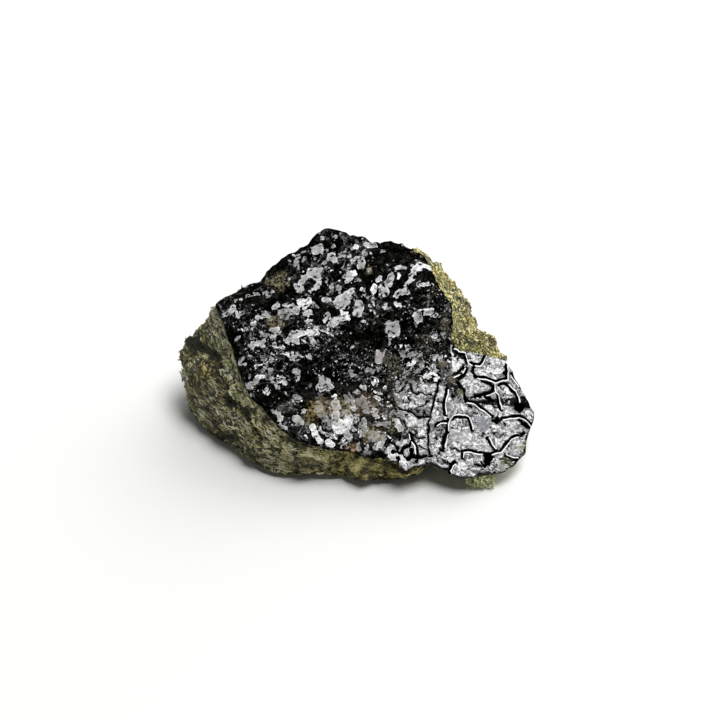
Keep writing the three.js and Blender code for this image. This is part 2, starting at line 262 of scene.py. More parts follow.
# folds of the crust in plan: each runs with its wide flank of painted shade on the left
foldRoutes = [
    [[4.79, -0.02], [4.71, 0.34], [4.23, 0.40]],
    [[4.79, -0.02], [4.96, -0.14], [5.31, -0.16], [5.49, 0.07], [5.62, 0.29]],
    [[5.09, -0.65], [5.30, -0.68], [5.56, -0.68], [5.78, -0.76], [5.95, -0.82], [6.17, -0.79],
     [6.38, -0.72], [6.51, -0.67], [6.54, -0.35], [6.52, -0.05]],
    [[6.24, -1.89], [6.16, -1.55], [6.12, -1.34], [5.97, -1.19], [5.95, -0.87]],
    [[5.16, -1.54], [5.47, -1.43], [5.73, -1.37], [5.95, -1.23]],
    [[7.02, -1.64], [7.00, -1.35], [6.86, -1.08], [6.64, -0.94], [6.47, -0.79]],
    [[6.65, -0.46], [6.82, -0.69], [6.99, -0.91]],
    [[6.28, -2.38], [6.58, -2.27], [7.01, -2.20], [7.19, -2.26], [7.49, -2.48]],
    [[4.48, -1.41], [4.60, -1.62], [4.73, -1.76], [5.03, -1.82], [5.38, -2.00], [5.76, -2.27]],
    [[3.77, -3.67], [3.86, -3.45], [3.92, -3.12], [3.93, -2.76], [3.99, -2.51]],
    [[4.98, -2.84], [4.94, -2.59], [4.86, -2.36], [4.64, -2.30], [4.38, -2.28], [4.17, -2.33],
     [3.99, -2.51]],
    [[3.43, -2.88], [3.60, -2.76], [3.86, -2.72]],
    [[4.54, -4.04], [4.58, -3.87], [4.80, -3.82], [5.01, -3.89], [5.36, -3.87]],
    [[5.74, -3.91], [5.96, -3.82], [6.17, -3.75], [6.35, -3.57], [6.48, -3.32], [6.65, -3.14],
     [6.92, -3.01]],
    [[5.96, -3.60], [5.79, -3.40], [5.67, -3.14]], [[6.91, -3.88], [6.65, -3.87], [6.39, -3.78]],
    [[4.66, -0.25], [4.57, -0.48], [4.40, -0.69], [4.18, -0.79]],
    [[3.84, -2.31], [3.80, -1.93], [3.87, -1.60], [3.96, -1.29]],
    [[2.23, -3.38], [2.35, -3.62], [2.48, -3.86], [2.52, -4.12]],
    [[4.10, -4.80], [4.02, -4.67], [4.11, -4.48], [4.24, -4.39]],
]
# grooves, cut in a little and painted black as shade: half width, then the points
grooves = [
    [0.069, [[5.35, -0.80], [5.73, -0.88], [5.84, -1.00], [5.84, -1.17], [5.55, -1.32], [5.25, -1.45]]],
    [0.043, [[6.08, -0.94], [6.25, -0.84], [6.51, -0.81]]],
    [0.069, [[6.97, -2.33], [7.27, -2.51], [7.44, -2.61]]],
    [0.065, [[4.39, -0.96], [4.56, -1.20], [4.60, -1.53], [4.69, -1.69]]],
    [0.069, [[3.86, -2.80], [3.86, -3.04], [3.73, -3.29], [3.68, -3.55]]],
    [0.034, [[3.98, -3.66], [4.20, -3.73], [4.37, -3.84]]],
    [0.065, [[5.05, -0.18], [5.00, -0.40], [5.09, -0.65]]], [0.030, [[5.08, -1.43], [4.90, -1.60]]],
    [0.065, [[5.47, -1.47], [5.64, -1.49], [5.81, -1.59]]],
    [0.030, [[5.81, -1.72], [5.94, -1.84], [6.11, -1.78]]],
    [0.060, [[4.32, 0.51], [4.62, 0.52], [4.93, 0.63]]],
    [0.056, [[4.09, -0.66], [4.35, -0.55], [4.53, -0.30], [4.57, -0.13]]],
    [0.039, [[3.51, -0.95], [3.44, -1.34], [3.31, -1.76], [3.18, -2.27], [3.09, -2.60], [3.04, -3.05],
     [3.04, -3.47], [3.08, -3.88], [3.21, -4.15]]],
    [0.043, [[3.74, -1.74], [3.74, -2.15], [3.78, -2.31]]], [0.034, [[3.44, -1.79], [3.78, -1.81]]],
    [0.034, [[2.24, -1.17], [2.36, -1.49], [2.53, -1.60], [2.79, -1.52], [3.18, -1.60]]],
    [0.039, [[1.55, -1.82], [1.63, -2.09], [1.84, -2.25], [2.10, -2.32], [2.36, -2.39], [2.62, -2.54],
     [2.87, -2.54], [3.05, -2.44]]],
    [0.026, [[2.70, -2.15], [2.96, -2.05], [3.05, -1.83]]],
    [0.034, [[2.19, -1.13], [1.98, -1.41], [1.80, -1.61]]],
    [0.026, [[2.01, -2.71], [2.10, -3.04], [2.01, -3.32]]],
    [0.022, [[2.40, -3.35], [2.61, -3.46], [2.87, -3.40]]], [0.022, [[2.65, -3.76], [3.00, -3.89]]],
    [0.060, [[1.92, -4.04], [2.01, -3.86], [2.22, -3.80]]],
    [0.035, [[2.18, -4.36], [2.01, -4.24], [1.92, -4.04]]],
    [0.080, [[2.35, -3.96], [2.36, -4.21], [2.18, -4.36]]], [0.040, [[2.22, -3.80], [2.30, -3.60]]],
    [0.030, [[1.24, -3.93], [1.37, -3.74], [1.63, -3.76]]],
    [0.060, [[1.63, -3.76], [1.75, -3.92], [1.71, -4.05]]], [0.045, [[1.71, -4.05], [1.45, -4.13]]],
    [0.045, [[1.71, -4.05], [1.85, -4.15], [1.92, -4.04]]], [0.035, [[1.37, -3.74], [1.30, -3.50]]],
    [0.040, [[1.73, -4.32], [1.75, -4.55]]], [0.050, [[1.67, -3.38], [1.84, -3.32], [1.80, -3.54]]],
    [0.055, [[2.39, -4.25], [2.69, -4.27], [2.52, -4.41]]],
    [0.045, [[2.69, -4.22], [2.99, -4.14], [3.17, -4.16]]],
    [0.043, [[1.16, -1.61], [1.33, -1.88], [1.54, -2.06], [1.72, -2.38]]],
    [0.030, [[6.13, -4.01], [6.47, -4.01], [6.73, -4.02]]],
]
# hollows, dented a little and painted black as shade: middle and half sizes
blackSpots = [
    [6.98, -1.78, 0.22, 0.15], [3.64, -3.80, 0.10, 0.09], [5.57, -4.06, 0.16, 0.24],
    [5.41, -3.07, 0.09, 0.06], [6.36, -2.52, 0.10, 0.08], [5.97, -2.43, 0.17, 0.14],
    [2.52, -4.24, 0.08, 0.08], [6.47, -4.09, 0.12, 0.07], [7.13, -2.87, 0.10, 0.15],
    [4.53, -0.59, 0.08, 0.07], [6.43, -0.36, 0.07, 0.17], [7.23, -2.43, 0.10, 0.10],
    [5.18, -4.39, 0.16, 0.06], [2.93, -0.97, 0.20, 0.04], [4.09, -1.61, 0.04, 0.16],
    [5.50, -4.30, 0.22, 0.10], [5.75, -3.95, 0.12, 0.10],
]
# marks on the crust: middle, radius, how dull they make it, and colour; the bluish one is a painted highlight
marks = [
    [-3.4, 2.1, 0.5, 0.6, "tan"], [-3.5, 0.4, 0.4, 0.6, "tan"], [0.5, 2.7, 0.2, 0.7, "tan"],
    [-1.55, -2.3, 0.45, 0.6, "gold"], [-0.2, -4.0, 0.32, 0.6, "rust"], [0.95, -0.4, 0.22, 0.8, "pink"],
    [0.3, -2.3, 0.7, 0.7, "brown"], [-0.8, -2.6, 0.8, 0.6, "tan"], [0.6, -3.3, 0.7, 0.6, "tan"],
    [1.6, -3.0, 0.6, 0.5, "tan"], [-1.7, -2.6, 0.6, 0.7, "gold"], [1.2, -2.8, 0.5, 0.5, "pink"],
    [1.5, -2.0, 0.45, 0.5, "brown"], [-0.7, -1.9, 0.4, 0.4, "brown"], [0.4, -3.1, 0.5, 0.4, "gold"],
    [5.38, -2.55, 0.34, 0.75, "bluishSheen"], [3.75, 0.9, 0.5, 0.4, "dust"], [3.95, 0.3, 0.5, 0.4, "dust"],
    [4.05, -0.6, 0.4, 0.5, "dust"], [3.7, -0.2, 0.25, 0.8, "crumb"], [4.1, -0.85, 0.25, 0.8, "crumb"],
    [4.45, -1.35, 0.2, 0.7, "crumb"], [1.5, -0.5, 0.5, 0.6, "crumb"], [2.95, 0.35, 0.4, 0.5, "crumb"],
    [3.8, 1.0, 0.35, 0.7, "crumb"], [2.6, -0.3, 0.5, 0.5, "dust"], [1.3, -1.4, 0.5, 0.5, "dust"],
    [2.4, -0.9, 0.45, 0.5, "dust"], [3.3, 2.0, 0.4, 0.5, "dust"], [0.0, -0.5, 0.6, 0.3, "dust"],
    [7.05, -3.4, 0.24, 0.9, "moss"], [6.4, -4.2, 0.35, 0.6, "moss"], [-3.0, -2.6, 0.4, 0.5, "dust"],
    [-2.1, -3.0, 0.35, 0.5, "gold"],
]
# bluishSheen is a painted highlight: the bluish sheen on a dome of the lobe
markColours = dict(
    tan=(0.30, 0.26, 0.16), gold=(0.26, 0.20, 0.09), rust=(0.34, 0.22, 0.10), pink=(0.24, 0.18, 0.15),
    brown=(0.10, 0.068, 0.038), bluishSheen=(0.145, 0.165, 0.225), dust=(0.10, 0.09, 0.065),
    moss=(0.14, 0.14, 0.07), crumb=(0.16, 0.145, 0.10),
)
# patches thick with tiny glints: middle and radius
stippled = [
    [3.9, 0.3, 0.5], [3.6, -0.7, 0.4], [1.6, -0.9, 0.5], [-4.0, -0.5, 0.9], [-5.0, 0.6, 0.5],
    [-2.0, 0.0, 0.6], [-3.6, -1.4, 0.6], [-1.6, -0.5, 0.5], [-0.4, -0.9, 0.7], [0.6, -0.8, 0.6],
    [2.9, 0.0, 0.7], [4.2, 0.9, 0.4], [2.1, -0.4, 0.6], [1.5, -0.3, 0.5], [3.8, -0.5, 0.5],
    [-4.3, -1.7, 0.5], [2.2, 1.2, 0.4],
]
# patches of rounded lumps: middle and radius
lumped = [[-0.8, -2.5, 0.7], [0.2, -2.4, 0.8], [1.0, -2.6, 0.7], [0.5, -3.3, 0.8]]
# smooth spots that catch the light, by how bright they are: half width, then the points of a route
glints = dict(
    bright=[
        [0.10, [[-0.05, 3.55]]], [0.12, [[-0.15, 2.6]]], [0.15, [[2.6, 2.9], [2.75, 3.05], [3.05, 3.1]]],
        [0.12, [[0.75, 2.0], [0.7, 1.8]]], [0.07, [[1.8, 2.55], [1.75, 2.4]]],
        [0.12, [[-0.65, 1.1], [-0.45, 0.8]]], [0.07, [[3.25, 0.6], [3.4, 0.65]]],
        [0.15, [[-2.45, 1.3], [-2.1, 1.35]]], [0.13, [[-2.5, 0.0], [-2.3, 0.05]]],
        [0.15, [[-2.05, 0.1], [-1.75, 0.1]]], [0.06, [[-4.3, -1.35], [-4.1, -1.35]]],
        [0.06, [[-4.25, -1.75], [-4.05, -1.7]]], [0.11, [[-3.35, -1.75], [-3.2, -1.65], [-3.1, -1.75]]],
        [0.07, [[-3.95, -2.2], [-3.8, -2.1]]], [0.15, [[-1.9, -3.35], [-1.8, -3.6]]],
        [0.07, [[-2.2, -3.75]]], [0.13, [[-1.7, -3.75], [-1.6, -3.9]]],
        [0.15, [[-1.2, -3.9], [-1.05, -4.0]]], [0.14, [[-0.8, -3.45], [-0.4, -3.25]]],
        [0.07, [[-1.05, -2.05], [-0.95, -2.0]]], [0.07, [[1.1, -2.65], [1.2, -2.75]]],
        [0.07, [[0.8, -1.2], [0.75, -1.35]]], [0.04, [[0.8, -1.85], [1.05, -2.0]]], [0.05, [[1.2, -1.45]]],
        [0.12, [[1.45, -4.3], [1.65, -4.25]]], [0.10, [[1.9, -4.2], [2.0, -4.3]]],
        [0.07, [[1.75, -4.6], [2.0, -4.65]]], [0.03, [[2.65, -0.85], [2.8, -1.0]]],
        [0.05, [[3.25, -0.95], [3.4, -1.0]]], [0.05, [[-1.1, -3.6], [-0.9, -3.7], [-0.75, -3.8]]],
        [0.14, [[1.05, 1.95], [1.15, 1.75]]], [0.2, [[-0.45, -3.2], [-0.35, -2.9]]],
        [0.16, [[-0.9, -3.3], [-0.65, -3.1]]], [0.03, [[1.9, 0.1], [1.95, 0.2], [2.1, 0.3]]],
        [0.05, [[2.1, 0.2], [2.2, 0.1]]], [0.06, [[2.25, -0.4], [2.45, -0.25]]],
        [0.09, [[2.95, -0.85], [3.2, -0.7], [3.4, -0.75]]], [0.08, [[3.3, -0.55]]],
        [0.04, [[3.85, 0.1], [3.95, -0.05]]], [0.06, [[1.45, -0.15]]],
        [0.11, [[1.0, -3.75], [0.9, -3.95]]], [0.06, [[0.9, -3.3], [1.2, -3.45], [1.45, -3.6]]],
        [0.11, [[1.5, -4.3], [1.45, -4.15]]], [0.10, [[1.9, -4.25], [1.95, -4.35]]],
        [0.09, [[1.9, -4.55], [2.05, -4.75]]], [0.06, [[1.9, -3.75], [2.1, -3.55]]],
        [0.10, [[5.7, -0.3], [6.15, -0.3]]], [0.13, [[6.5, -1.05], [6.55, -0.9]]],
        [0.14, [[4.0, -4.3], [4.55, -4.4]]], [0.12, [[4.9, -4.2]]],
        [0.07, [[4.1, 0.35], [4.15, 0.1], [4.25, -0.1], [4.35, -0.35]]],
    ],
    plain=[
        [0.20, [[4.15, -3.1], [4.5, -3.25]]], [0.14, [[-1.8, 3.3], [-1.65, 3.35]]], [0.09, [[-1.5, 3.4]]],
        [0.08, [[0.45, 3.7], [0.45, 3.65]]], [0.15, [[0.45, 3.7], [0.7, 3.75]]],
        [0.17, [[0.2, 3.0], [0.15, 2.9]]], [0.06, [[-0.15, 2.95]]], [0.07, [[-1.05, 3.2]]],
        [0.11, [[-1.2, 3.1], [-0.95, 2.95]]], [0.10, [[-2.3, 2.2], [-2.05, 2.35]]],
        [0.16, [[-2.0, 2.4], [-1.6, 2.5]]], [0.13, [[-1.85, 2.3], [-1.65, 2.4]]],
        [0.07, [[-2.45, 2.05], [-2.3, 2.1]]], [0.07, [[-2.6, 1.85], [-2.35, 1.8]]],
        [0.09, [[-1.95, 1.85], [-1.7, 1.95], [-1.55, 2.1]]], [0.15, [[-0.35, 2.4], [-0.3, 2.5]]],
        [0.08, [[1.7, 2.85], [2.0, 2.9]]], [0.09, [[2.45, 2.75], [2.35, 2.5]]],
        [0.09, [[2.3, 2.35], [2.2, 2.2]]], [0.18, [[1.35, 2.15], [1.45, 2.4]]],
        [0.08, [[0.9, 2.25], [1.0, 2.35]]], [0.15, [[1.05, 1.75], [1.25, 1.8]]], [0.06, [[1.05, 2.1]]],
        [0.12, [[1.7, 1.75], [2.1, 1.95]]], [0.07, [[2.65, 2.15], [2.7, 2.2], [3.05, 2.25]]],
        [0.05, [[3.25, 2.25]]], [0.11, [[-0.85, 1.35], [-0.7, 1.5], [-0.4, 1.7], [-0.2, 1.85]]],
        [0.12, [[-0.75, 1.25], [-0.45, 1.45]]], [0.08, [[0.2, 1.9], [0.4, 1.75]]],
        [0.14, [[-1.15, 0.45], [-0.8, 0.65], [-0.55, 0.8]]], [0.10, [[-1.4, 0.65], [-1.25, 0.8]]],
        [0.20, [[0.0, 1.05], [0.1, 1.35]]], [0.05, [[0.25, 0.65]]], [0.06, [[0.75, 1.3], [0.7, 1.5]]],
        [0.06, [[1.15, 1.2], [1.3, 1.4]]], [0.06, [[1.6, 1.4], [1.7, 1.35]]], [0.05, [[1.85, 1.4]]],
        [0.05, [[0.95, 0.95], [0.85, 0.8]]], [0.05, [[0.75, 1.0]]], [0.15, [[2.55, 0.95], [2.7, 1.0]]],
        [0.10, [[2.9, 1.1], [3.2, 1.2]]], [0.14, [[1.35, 0.55], [1.7, 0.65]]],
        [0.13, [[1.45, 0.45], [1.7, 0.5]]], [0.05, [[3.4, 1.05]]], [0.05, [[3.6, 2.0]]],
        [0.08, [[-5.8, 0.6], [-5.5, 0.7], [-5.3, 0.9]]], [0.07, [[-5.2, 0.7], [-5.05, 0.6]]],
        [0.08, [[-4.95, 1.2]]], [0.05, [[-4.4, 1.0], [-4.35, 0.95]]], [0.08, [[-4.25, 0.65], [-4.1, 0.6]]],
        [0.10, [[-4.5, 0.3], [-4.35, 0.45]]], [0.10, [[-4.9, 0.15]]], [0.06, [[-5.5, 0.25]]],
        [0.12, [[-3.55, 1.05], [-3.4, 1.15]]], [0.08, [[-3.2, 1.2], [-2.8, 1.2]]],
        [0.08, [[-2.75, 1.25], [-2.65, 1.1]]], [0.13, [[-2.8, 0.85], [-2.55, 0.95]]],
        [0.05, [[-2.25, 1.05], [-2.05, 1.15]]], [0.08, [[-2.2, 0.85], [-1.95, 0.85]]],
        [0.06, [[-1.4, 1.4], [-1.2, 1.45]]], [0.06, [[-2.15, 0.45], [-2.05, 0.55], [-1.9, 0.5]]],
        [0.12, [[-3.6, 0.1], [-3.35, 0.15]]], [0.05, [[-3.65, -0.15], [-3.35, 0.0]]],
        [0.06, [[-5.2, -0.2], [-5.05, -0.1]]], [0.13, [[-4.5, -0.5]]],
        [0.07, [[-4.25, -0.45], [-4.05, -0.3]]], [0.07, [[-4.0, -0.5]]],
        [0.07, [[-3.55, -0.3], [-3.45, -0.5], [-3.2, -0.55]]], [0.15, [[-2.95, -0.25], [-2.7, -0.05]]],
        [0.12, [[-2.75, -0.3], [-2.6, -0.25]]], [0.09, [[-2.3, -0.25], [-2.2, -0.35]]],
        [0.09, [[-1.95, -0.2], [-1.8, -0.35]]], [0.04, [[-1.65, 0.25], [-1.3, 0.1], [-1.05, -0.05]]],
        [0.05, [[-3.15, -0.8], [-2.8, -0.7]]], [0.07, [[-2.9, -0.9], [-2.6, -0.9]]],
        [0.05, [[-2.55, -0.7], [-2.35, -0.8]]], [0.09, [[-4.95, -1.1], [-4.85, -0.95]]],
        [0.06, [[-4.75, -1.2], [-4.6, -1.0]]], [0.08, [[-3.9, -1.25], [-3.7, -1.15]]],
        [0.06, [[-2.65, -1.35], [-2.5, -1.35]]], [0.06, [[-2.55, -1.55], [-2.5, -1.45]]],
        [0.09, [[-4.7, -1.95], [-4.4, -1.9], [-4.25, -1.85]]], [0.08, [[-4.5, -2.05]]],
        [0.07, [[-3.6, -1.85], [-3.4, -1.9]]], [0.20, [[-1.45, -1.5], [-1.3, -1.55]]],
        [0.07, [[-1.65, -1.7], [-1.1, -1.6]]], [0.06, [[-2.25, -2.65]]],
        [0.10, [[-3.35, -2.9], [-3.25, -3.25]]], [0.06, [[-3.2, -3.45], [-3.05, -3.5]]],
        [0.17, [[-2.6, -3.05], [-2.45, -3.15]]], [0.04, [[-1.8, -3.25], [-1.55, -3.4], [-1.3, -3.55]]],
        [0.18, [[-0.45, -3.5], [-0.35, -3.6]]], [0.09, [[-0.4, -3.05]]],
        [0.16, [[-0.95, -2.25], [-0.85, -2.45]]], [0.14, [[-0.9, -2.7], [-0.9, -2.9], [-1.05, -3.1]]],
        [0.10, [[-0.2, -2.15], [-0.1, -2.4]]], [0.09, [[0.15, -1.55], [0.3, -1.5]]],
        [0.04, [[0.15, -3.25], [0.15, -3.6]]], [0.07, [[0.45, -3.95]]],
        [0.12, [[1.0, -3.95], [1.1, -3.75]]], [0.09, [[0.75, -2.45], [0.85, -2.65]]],
        [0.14, [[1.7, -2.8], [1.85, -3.15]]], [0.09, [[0.75, -1.65], [0.95, -1.7]]],
        [0.06, [[1.35, -3.95], [1.45, -4.15]]], [0.07, [[1.75, -3.8], [1.95, -3.7]]],
        [0.05, [[3.35, 0.1], [3.3, -0.15], [3.3, -0.45], [3.4, -0.6]]],
        [0.04, [[3.35, 0.1], [3.65, 0.1], [3.6, 0.0]]], [0.10, [[-0.7, -3.95], [-0.55, -3.75]]],
        [0.07, [[-0.7, -4.1]]], [0.07, [[2.15, 0.15], [2.2, 0.1]]], [0.13, [[1.0, -0.3], [0.95, -0.45]]],
        [0.06, [[-2.0, -0.85], [-2.1, -0.7]]],
    ],
    dull=[
        [0.07, [[-1.5, 3.8]]], [0.07, [[-0.95, 3.8]]], [0.09, [[-1.0, 3.5]]], [0.07, [[-1.3, 3.4]]],
        [0.07, [[-0.2, 3.45]]], [0.06, [[1.0, 3.55], [1.2, 3.6]]], [0.11, [[0.35, 3.3]]],
        [0.06, [[0.6, 3.3], [0.65, 3.2]]], [0.05, [[-0.75, 3.1], [-0.5, 3.15]]],
        [0.06, [[-0.6, 3.3], [-0.45, 3.35]]], [0.07, [[-2.45, 3.1], [-2.65, 3.0]]],
        [0.06, [[-2.2, 3.1], [-2.35, 2.85]]], [0.05, [[-2.35, 3.3], [-2.1, 3.3]]],
        [0.09, [[-2.6, 2.75], [-2.5, 2.6]]], [0.08, [[-1.4, 2.85], [-1.4, 2.75]]], [0.06, [[-1.35, 2.2]]],
        [0.07, [[-1.05, 2.05], [-1.05, 1.8]]], [0.07, [[-0.8, 1.95]]], [0.07, [[-0.55, 2.45]]],
        [0.07, [[0.05, 2.3]]], [0.06, [[-0.45, 2.2]]], [0.06, [[0.5, 2.65]]], [0.05, [[1.45, 1.25]]],
        [0.05, [[1.3, 1.15]]], [0.06, [[0.45, 1.6]]], [0.07, [[1.35, 0.35], [1.45, 0.25]]],
        [0.08, [[2.55, 0.75]]], [0.05, [[-4.9, 0.75]]], [0.06, [[-5.2, 1.2]]],
        [0.09, [[-4.7, 1.4], [-4.5, 1.4], [-4.3, 1.5]]], [0.07, [[-3.8, 1.35], [-3.9, 1.55]]],
        [0.08, [[-3.6, 1.6]]], [0.10, [[-3.95, 0.8], [-3.8, 0.7]]],
        [0.16, [[-3.25, 0.85], [-3.0, 0.95], [-3.05, 0.7]]], [0.07, [[-1.85, 1.25], [-1.75, 1.1]]],
        [0.11, [[-4.0, -0.05]]], [0.07, [[-3.95, -1.4], [-4.0, -1.5]]], [0.07, [[-4.6, -1.7]]],
        [0.09, [[-2.6, -2.2], [-2.5, -2.15]]], [0.07, [[-3.55, -2.8]]], [0.09, [[-2.1, -3.55]]],
        [0.18, [[-1.65, -2.45], [-1.55, -2.75], [-1.25, -3.2]]], [0.16, [[0.1, -2.15], [0.35, -2.25]]],
        [0.09, [[0.5, -2.15]]], [0.06, [[-0.35, -1.85], [-0.2, -2.05]]],
        [0.09, [[0.3, -2.9], [0.4, -3.25], [0.25, -3.45]]], [0.22, [[0.65, -3.5], [1.05, -3.55]]],
        [0.11, [[0.85, -3.0], [1.35, -2.95]]], [0.10, [[-0.5, -2.65], [-0.3, -2.8]]],
        [0.09, [[1.35, -1.8]]], [0.11, [[1.7, -1.45], [1.8, -1.25]]], [0.04, [[1.35, 0.3], [1.4, 0.1]]],
        [0.07, [[2.6, 0.75]]], [0.03, [[3.3, 0.5], [3.5, 0.55]]], [0.04, [[3.75, 0.7]]],
        [0.09, [[2.0, -0.1], [2.25, -0.05], [2.5, 0.05]]],
        [0.05, [[2.5, 0.1], [2.75, 0.0], [2.85, -0.2], [2.7, -0.5], [2.55, -0.55]]],
        [0.06, [[2.4, -0.15], [2.6, -0.1]]], [0.07, [[1.95, -0.85], [2.2, -0.65], [2.35, -0.5]]],
        [0.08, [[2.0, -0.95]]], [0.12, [[4.3, -1.8], [4.45, -1.6]]], [0.20, [[5.35, -2.45], [5.45, -2.7]]],
        [0.08, [[4.75, -1.4], [4.9, -1.45]]], [0.10, [[1.95, -1.65], [1.85, -1.9]]],
        [0.10, [[1.6, -2.4], [2.0, -2.5]]], [0.07, [[-0.25, -1.1], [-0.05, -1.1]]],
        [0.10, [[-3.8, -1.75], [-3.65, -1.5]]], [0.09, [[0.45, -0.85], [0.65, -0.85]]],
    ],
)
# where the wrinkled crust ends at the smooth plates of the lobe, which lie on the right of this way
plateEdge = [
    [1.24, -4.80], [1.20, -4.14], [1.41, -3.74], [1.80, -3.46], [2.01, -3.13], [2.01, -2.71],
    [1.67, -2.30], [1.46, -1.91], [1.55, -1.59], [1.85, -1.30], [2.19, -1.08], [2.71, -1.16],
    [3.49, -1.04], [3.87, -1.21], [4.43, -1.74], [4.60, -1.74], [4.48, -1.08], [4.09, -0.70],
    [4.06, 0.34], [4.32, 0.68], [4.88, 0.74],
]


def cushionHeight(x, y):
    # the highest of the flat-topped cushions that stand on scattered points. Each starts from the
    # broad height at its point. A share of them lean back as the lobe does and catch the light, the
    # rest lean forwards. Towards the lobe they widen into plates
    form, long, wide = crust, crust["cushionLong"], crust["cushionWide"]
    wx, wy = stirred(x, y, form["warpSize"], form["warp"], 71)
    leanX, leanY = stone["lobeSlope"][1:]
    top = np.full(np.shape(x), -far)
    for dx, dy, off, (chosen, one, other) in scattered(wx, wy, long, wide, stone["rippleTurn"], 73):
        cx, cy = x - dx, y - dy
        lobe, plate = lobeShare(cx, cy), plateShare(cx, cy)
        chance = form["glintShare"] + form["crestShare"] * np.cos(ripplePhase(cx, cy))
        chance = chance + form["patchShare"] * noise(cx, cy, 0, 74)
        onLobe = between(form["bubbleShare"], form["plateChance"], plate)
        lit = chosen < between(chance, onLobe, smooth(lobe / form["lobeRun"]))
        spread = between(form["litSpread"], form["plateSpread"], lobe)
        litX = leanX + spread * (2 * one - 1)
        litY = leanY + spread * (2 * other - 1)
        darkX = leanX + form["darkSpread"] * (2 * one - 1)
        darkY = leanY + form["darkLean"] + form["darkSpread"] * 2 * other
        drop = between(form["cushionDrop"], form["plateDrop"], plate)
        level = broadHeight(cx, cy) + form["cushionLift"] * one * (1 - lobe)
        tilt = np.where(lit, litX, darkX) * dx + np.where(lit, litY, darkY) * dy
        top = np.maximum(top, level + tilt - drop * off ** 3)
    return top


def smallCushions(x, y):
    # smaller leaning cushions over parts of the upper slope
    form, long, wide = crust, crust["smallLong"], crust["smallWide"]
    wx, wy = stirred(x, y, form["smallWarpSize"], form["smallWarp"], 77)
    top = np.full(np.shape(x), -far)
    for dx, dy, off, (one, other, _) in scattered(wx, wy, long, wide, form["smallTurn"], 81):
        tilt = form["smallLean"] * ((2 * one - 1) * dx + (2 * other - 1) * dy)
        top = np.maximum(top, tilt - form["smallDrop"] * off ** 2)
    patches = noise(x / form["smallPatch"], y / form["smallPatch"], 0, 79)
    return top * (smooth((patches + form["smallStart"]) / form["smallRun"]) * (1 - lobeShare(x, y)))


def glintPlaces(x, y):
    # how far each point is inside the nearest glint's wobbling border, less than 0 outside, and how
    # bright that glint is
    wx, wy = stirred(x, y, crust["glintWobbleSize"], crust["glintWobble"], 91)
    inside, tone = np.full(x.shape, -crust["reach"]), np.zeros(x.shape)
    for kind, level in crust["glintTones"].items():
        for half, route in glints[kind]:
            here = (half - nearRoute(route, wx, wy)[0]) * max(1, half / crust["wideGlint"])
            tone = np.where(here > inside, level, tone)
            inside = np.maximum(inside, here)
    return inside, tone


def plateShare(x, y):
    # 0 on the wrinkled crust, 1 on the smooth plates of the lobe
    off, left = nearRoute(plateEdge, x, y)
    return smooth(0.5 - np.sign(left) * off / crust["plateBlend"])


def lumpShare(x, y):
    # 1 where rounded lumps lie side by side
    share, size = np.zeros(x.shape), crust["lumpRaggedSize"]
    for mx, my, radius in lumped:
        share = np.maximum(share, crust["lumpFade"] - np.hypot(x - mx, y - my) / radius)
    return smooth(share + crust["lumpRagged"] * noise(x / size, y / size, 0, 136))


def crustHeight(x, y, reach):
    # cushions, then the glints as low smooth blisters, then the grooves; the fine relief fades out close
    # to the rim, which rolls down
    broad = broadHeight(x, y)
    blister = smooth((glintPlaces(x, y)[0] + crust["glintStart"]) / crust["glintRun"])
    blister = blister * (1 - plateShare(x, y))
    fine = between(cushionHeight(x, y) + smallCushions(x, y), broad + crust["glintRise"], blister)
    fine = fine - crust["grooveDepth"] * smooth(0.5 - blackPlaces(x, y) / crust["grooveWall"])
    quiet = smooth((1 - reach) / crust["rimQuiet"])
    return between(broad, fine, quiet) - edgeRoll(x, y, reach)


def crustMarks(x, y):
    # each mark fades out over its radius, with an uneven border; the strongest mark at a place gives
    # its colour
    size = crust["markRaggedSize"]
    edge = crust["markRagged"] * noise(x / size, y / size, 0, 133)
    dull, colour = np.zeros(x.shape), np.zeros((*x.shape, 3))
    for mx, my, radius, strength, kind in marks:
        here = strength * smooth(crust["markFade"] - np.hypot(x - mx, y - my) / radius + edge)
        colour = np.where((here > dull)[..., None], markColours[kind], colour)
        dull = np.maximum(dull, here)
    return dull, colour


def stippleShare(x, y):
    # how thickly tiny glints lie: a thin scatter, and thick over round patches
    size = crust["stippleSize"]
    share = crust["stippleThin"] + crust["stippleSpread"] * noise(x / size, y / size, 0, 135)
    for mx, my, radius in stippled:
        share = np.maximum(share, smooth(crust["stippleFade"] - np.hypot(x - mx, y - my) / radius))
    return share


def foldPlaces(x, y):
    # how far each point is from the nearest fold, and how far on the fold's left, dark side
    wx, wy = stirred(x, y, crust["foldWobbleSize"], crust["foldWobble"], 95)
    nearest, side = np.full(x.shape, crust["reach"]), np.zeros(x.shape)
    for route in foldRoutes:
        off, left = nearRoute(route, wx, wy)
        side = np.where(off < nearest, left, side)
        nearest = np.minimum(nearest, off)
    return nearest, side


def blackPlaces(x, y):
    # how far each point is outside the nearest groove or hollow, less than 0 inside; grooves wobble half
    # as much as hollows
    nearest = np.full(x.shape, crust["reach"])
    wx, wy = stirred(x, y, crust["spotWobbleSize"], crust["spotWobble"], 151)
    for half, route in grooves:
        nearest = np.minimum(nearest, nearRoute(route, (x + wx) / 2, (y + wy) / 2)[0] - half)
    for mx, my, halfX, halfY in blackSpots:
        outside = np.hypot((wx - mx) / halfX, (wy - my) / halfY) - 1
        nearest = np.minimum(nearest, outside * min(halfX, halfY))
    return nearest


def flatness(places):
    # 1 where a grid of points lies parallel to the lobe, falling to 0 as it turns away
    across, along = np.gradient(places, axis=0), np.gradient(places, axis=1)
    square = np.cross(across, along)
    leanX, leanY = -square[..., 0] / square[..., 2], -square[..., 1] / square[..., 2]
    off = np.hypot(leanX - stone["lobeSlope"][1], leanY - stone["lobeSlope"][2])
    return smooth((crust["flatFrom"] - off) / crust["flatRun"])


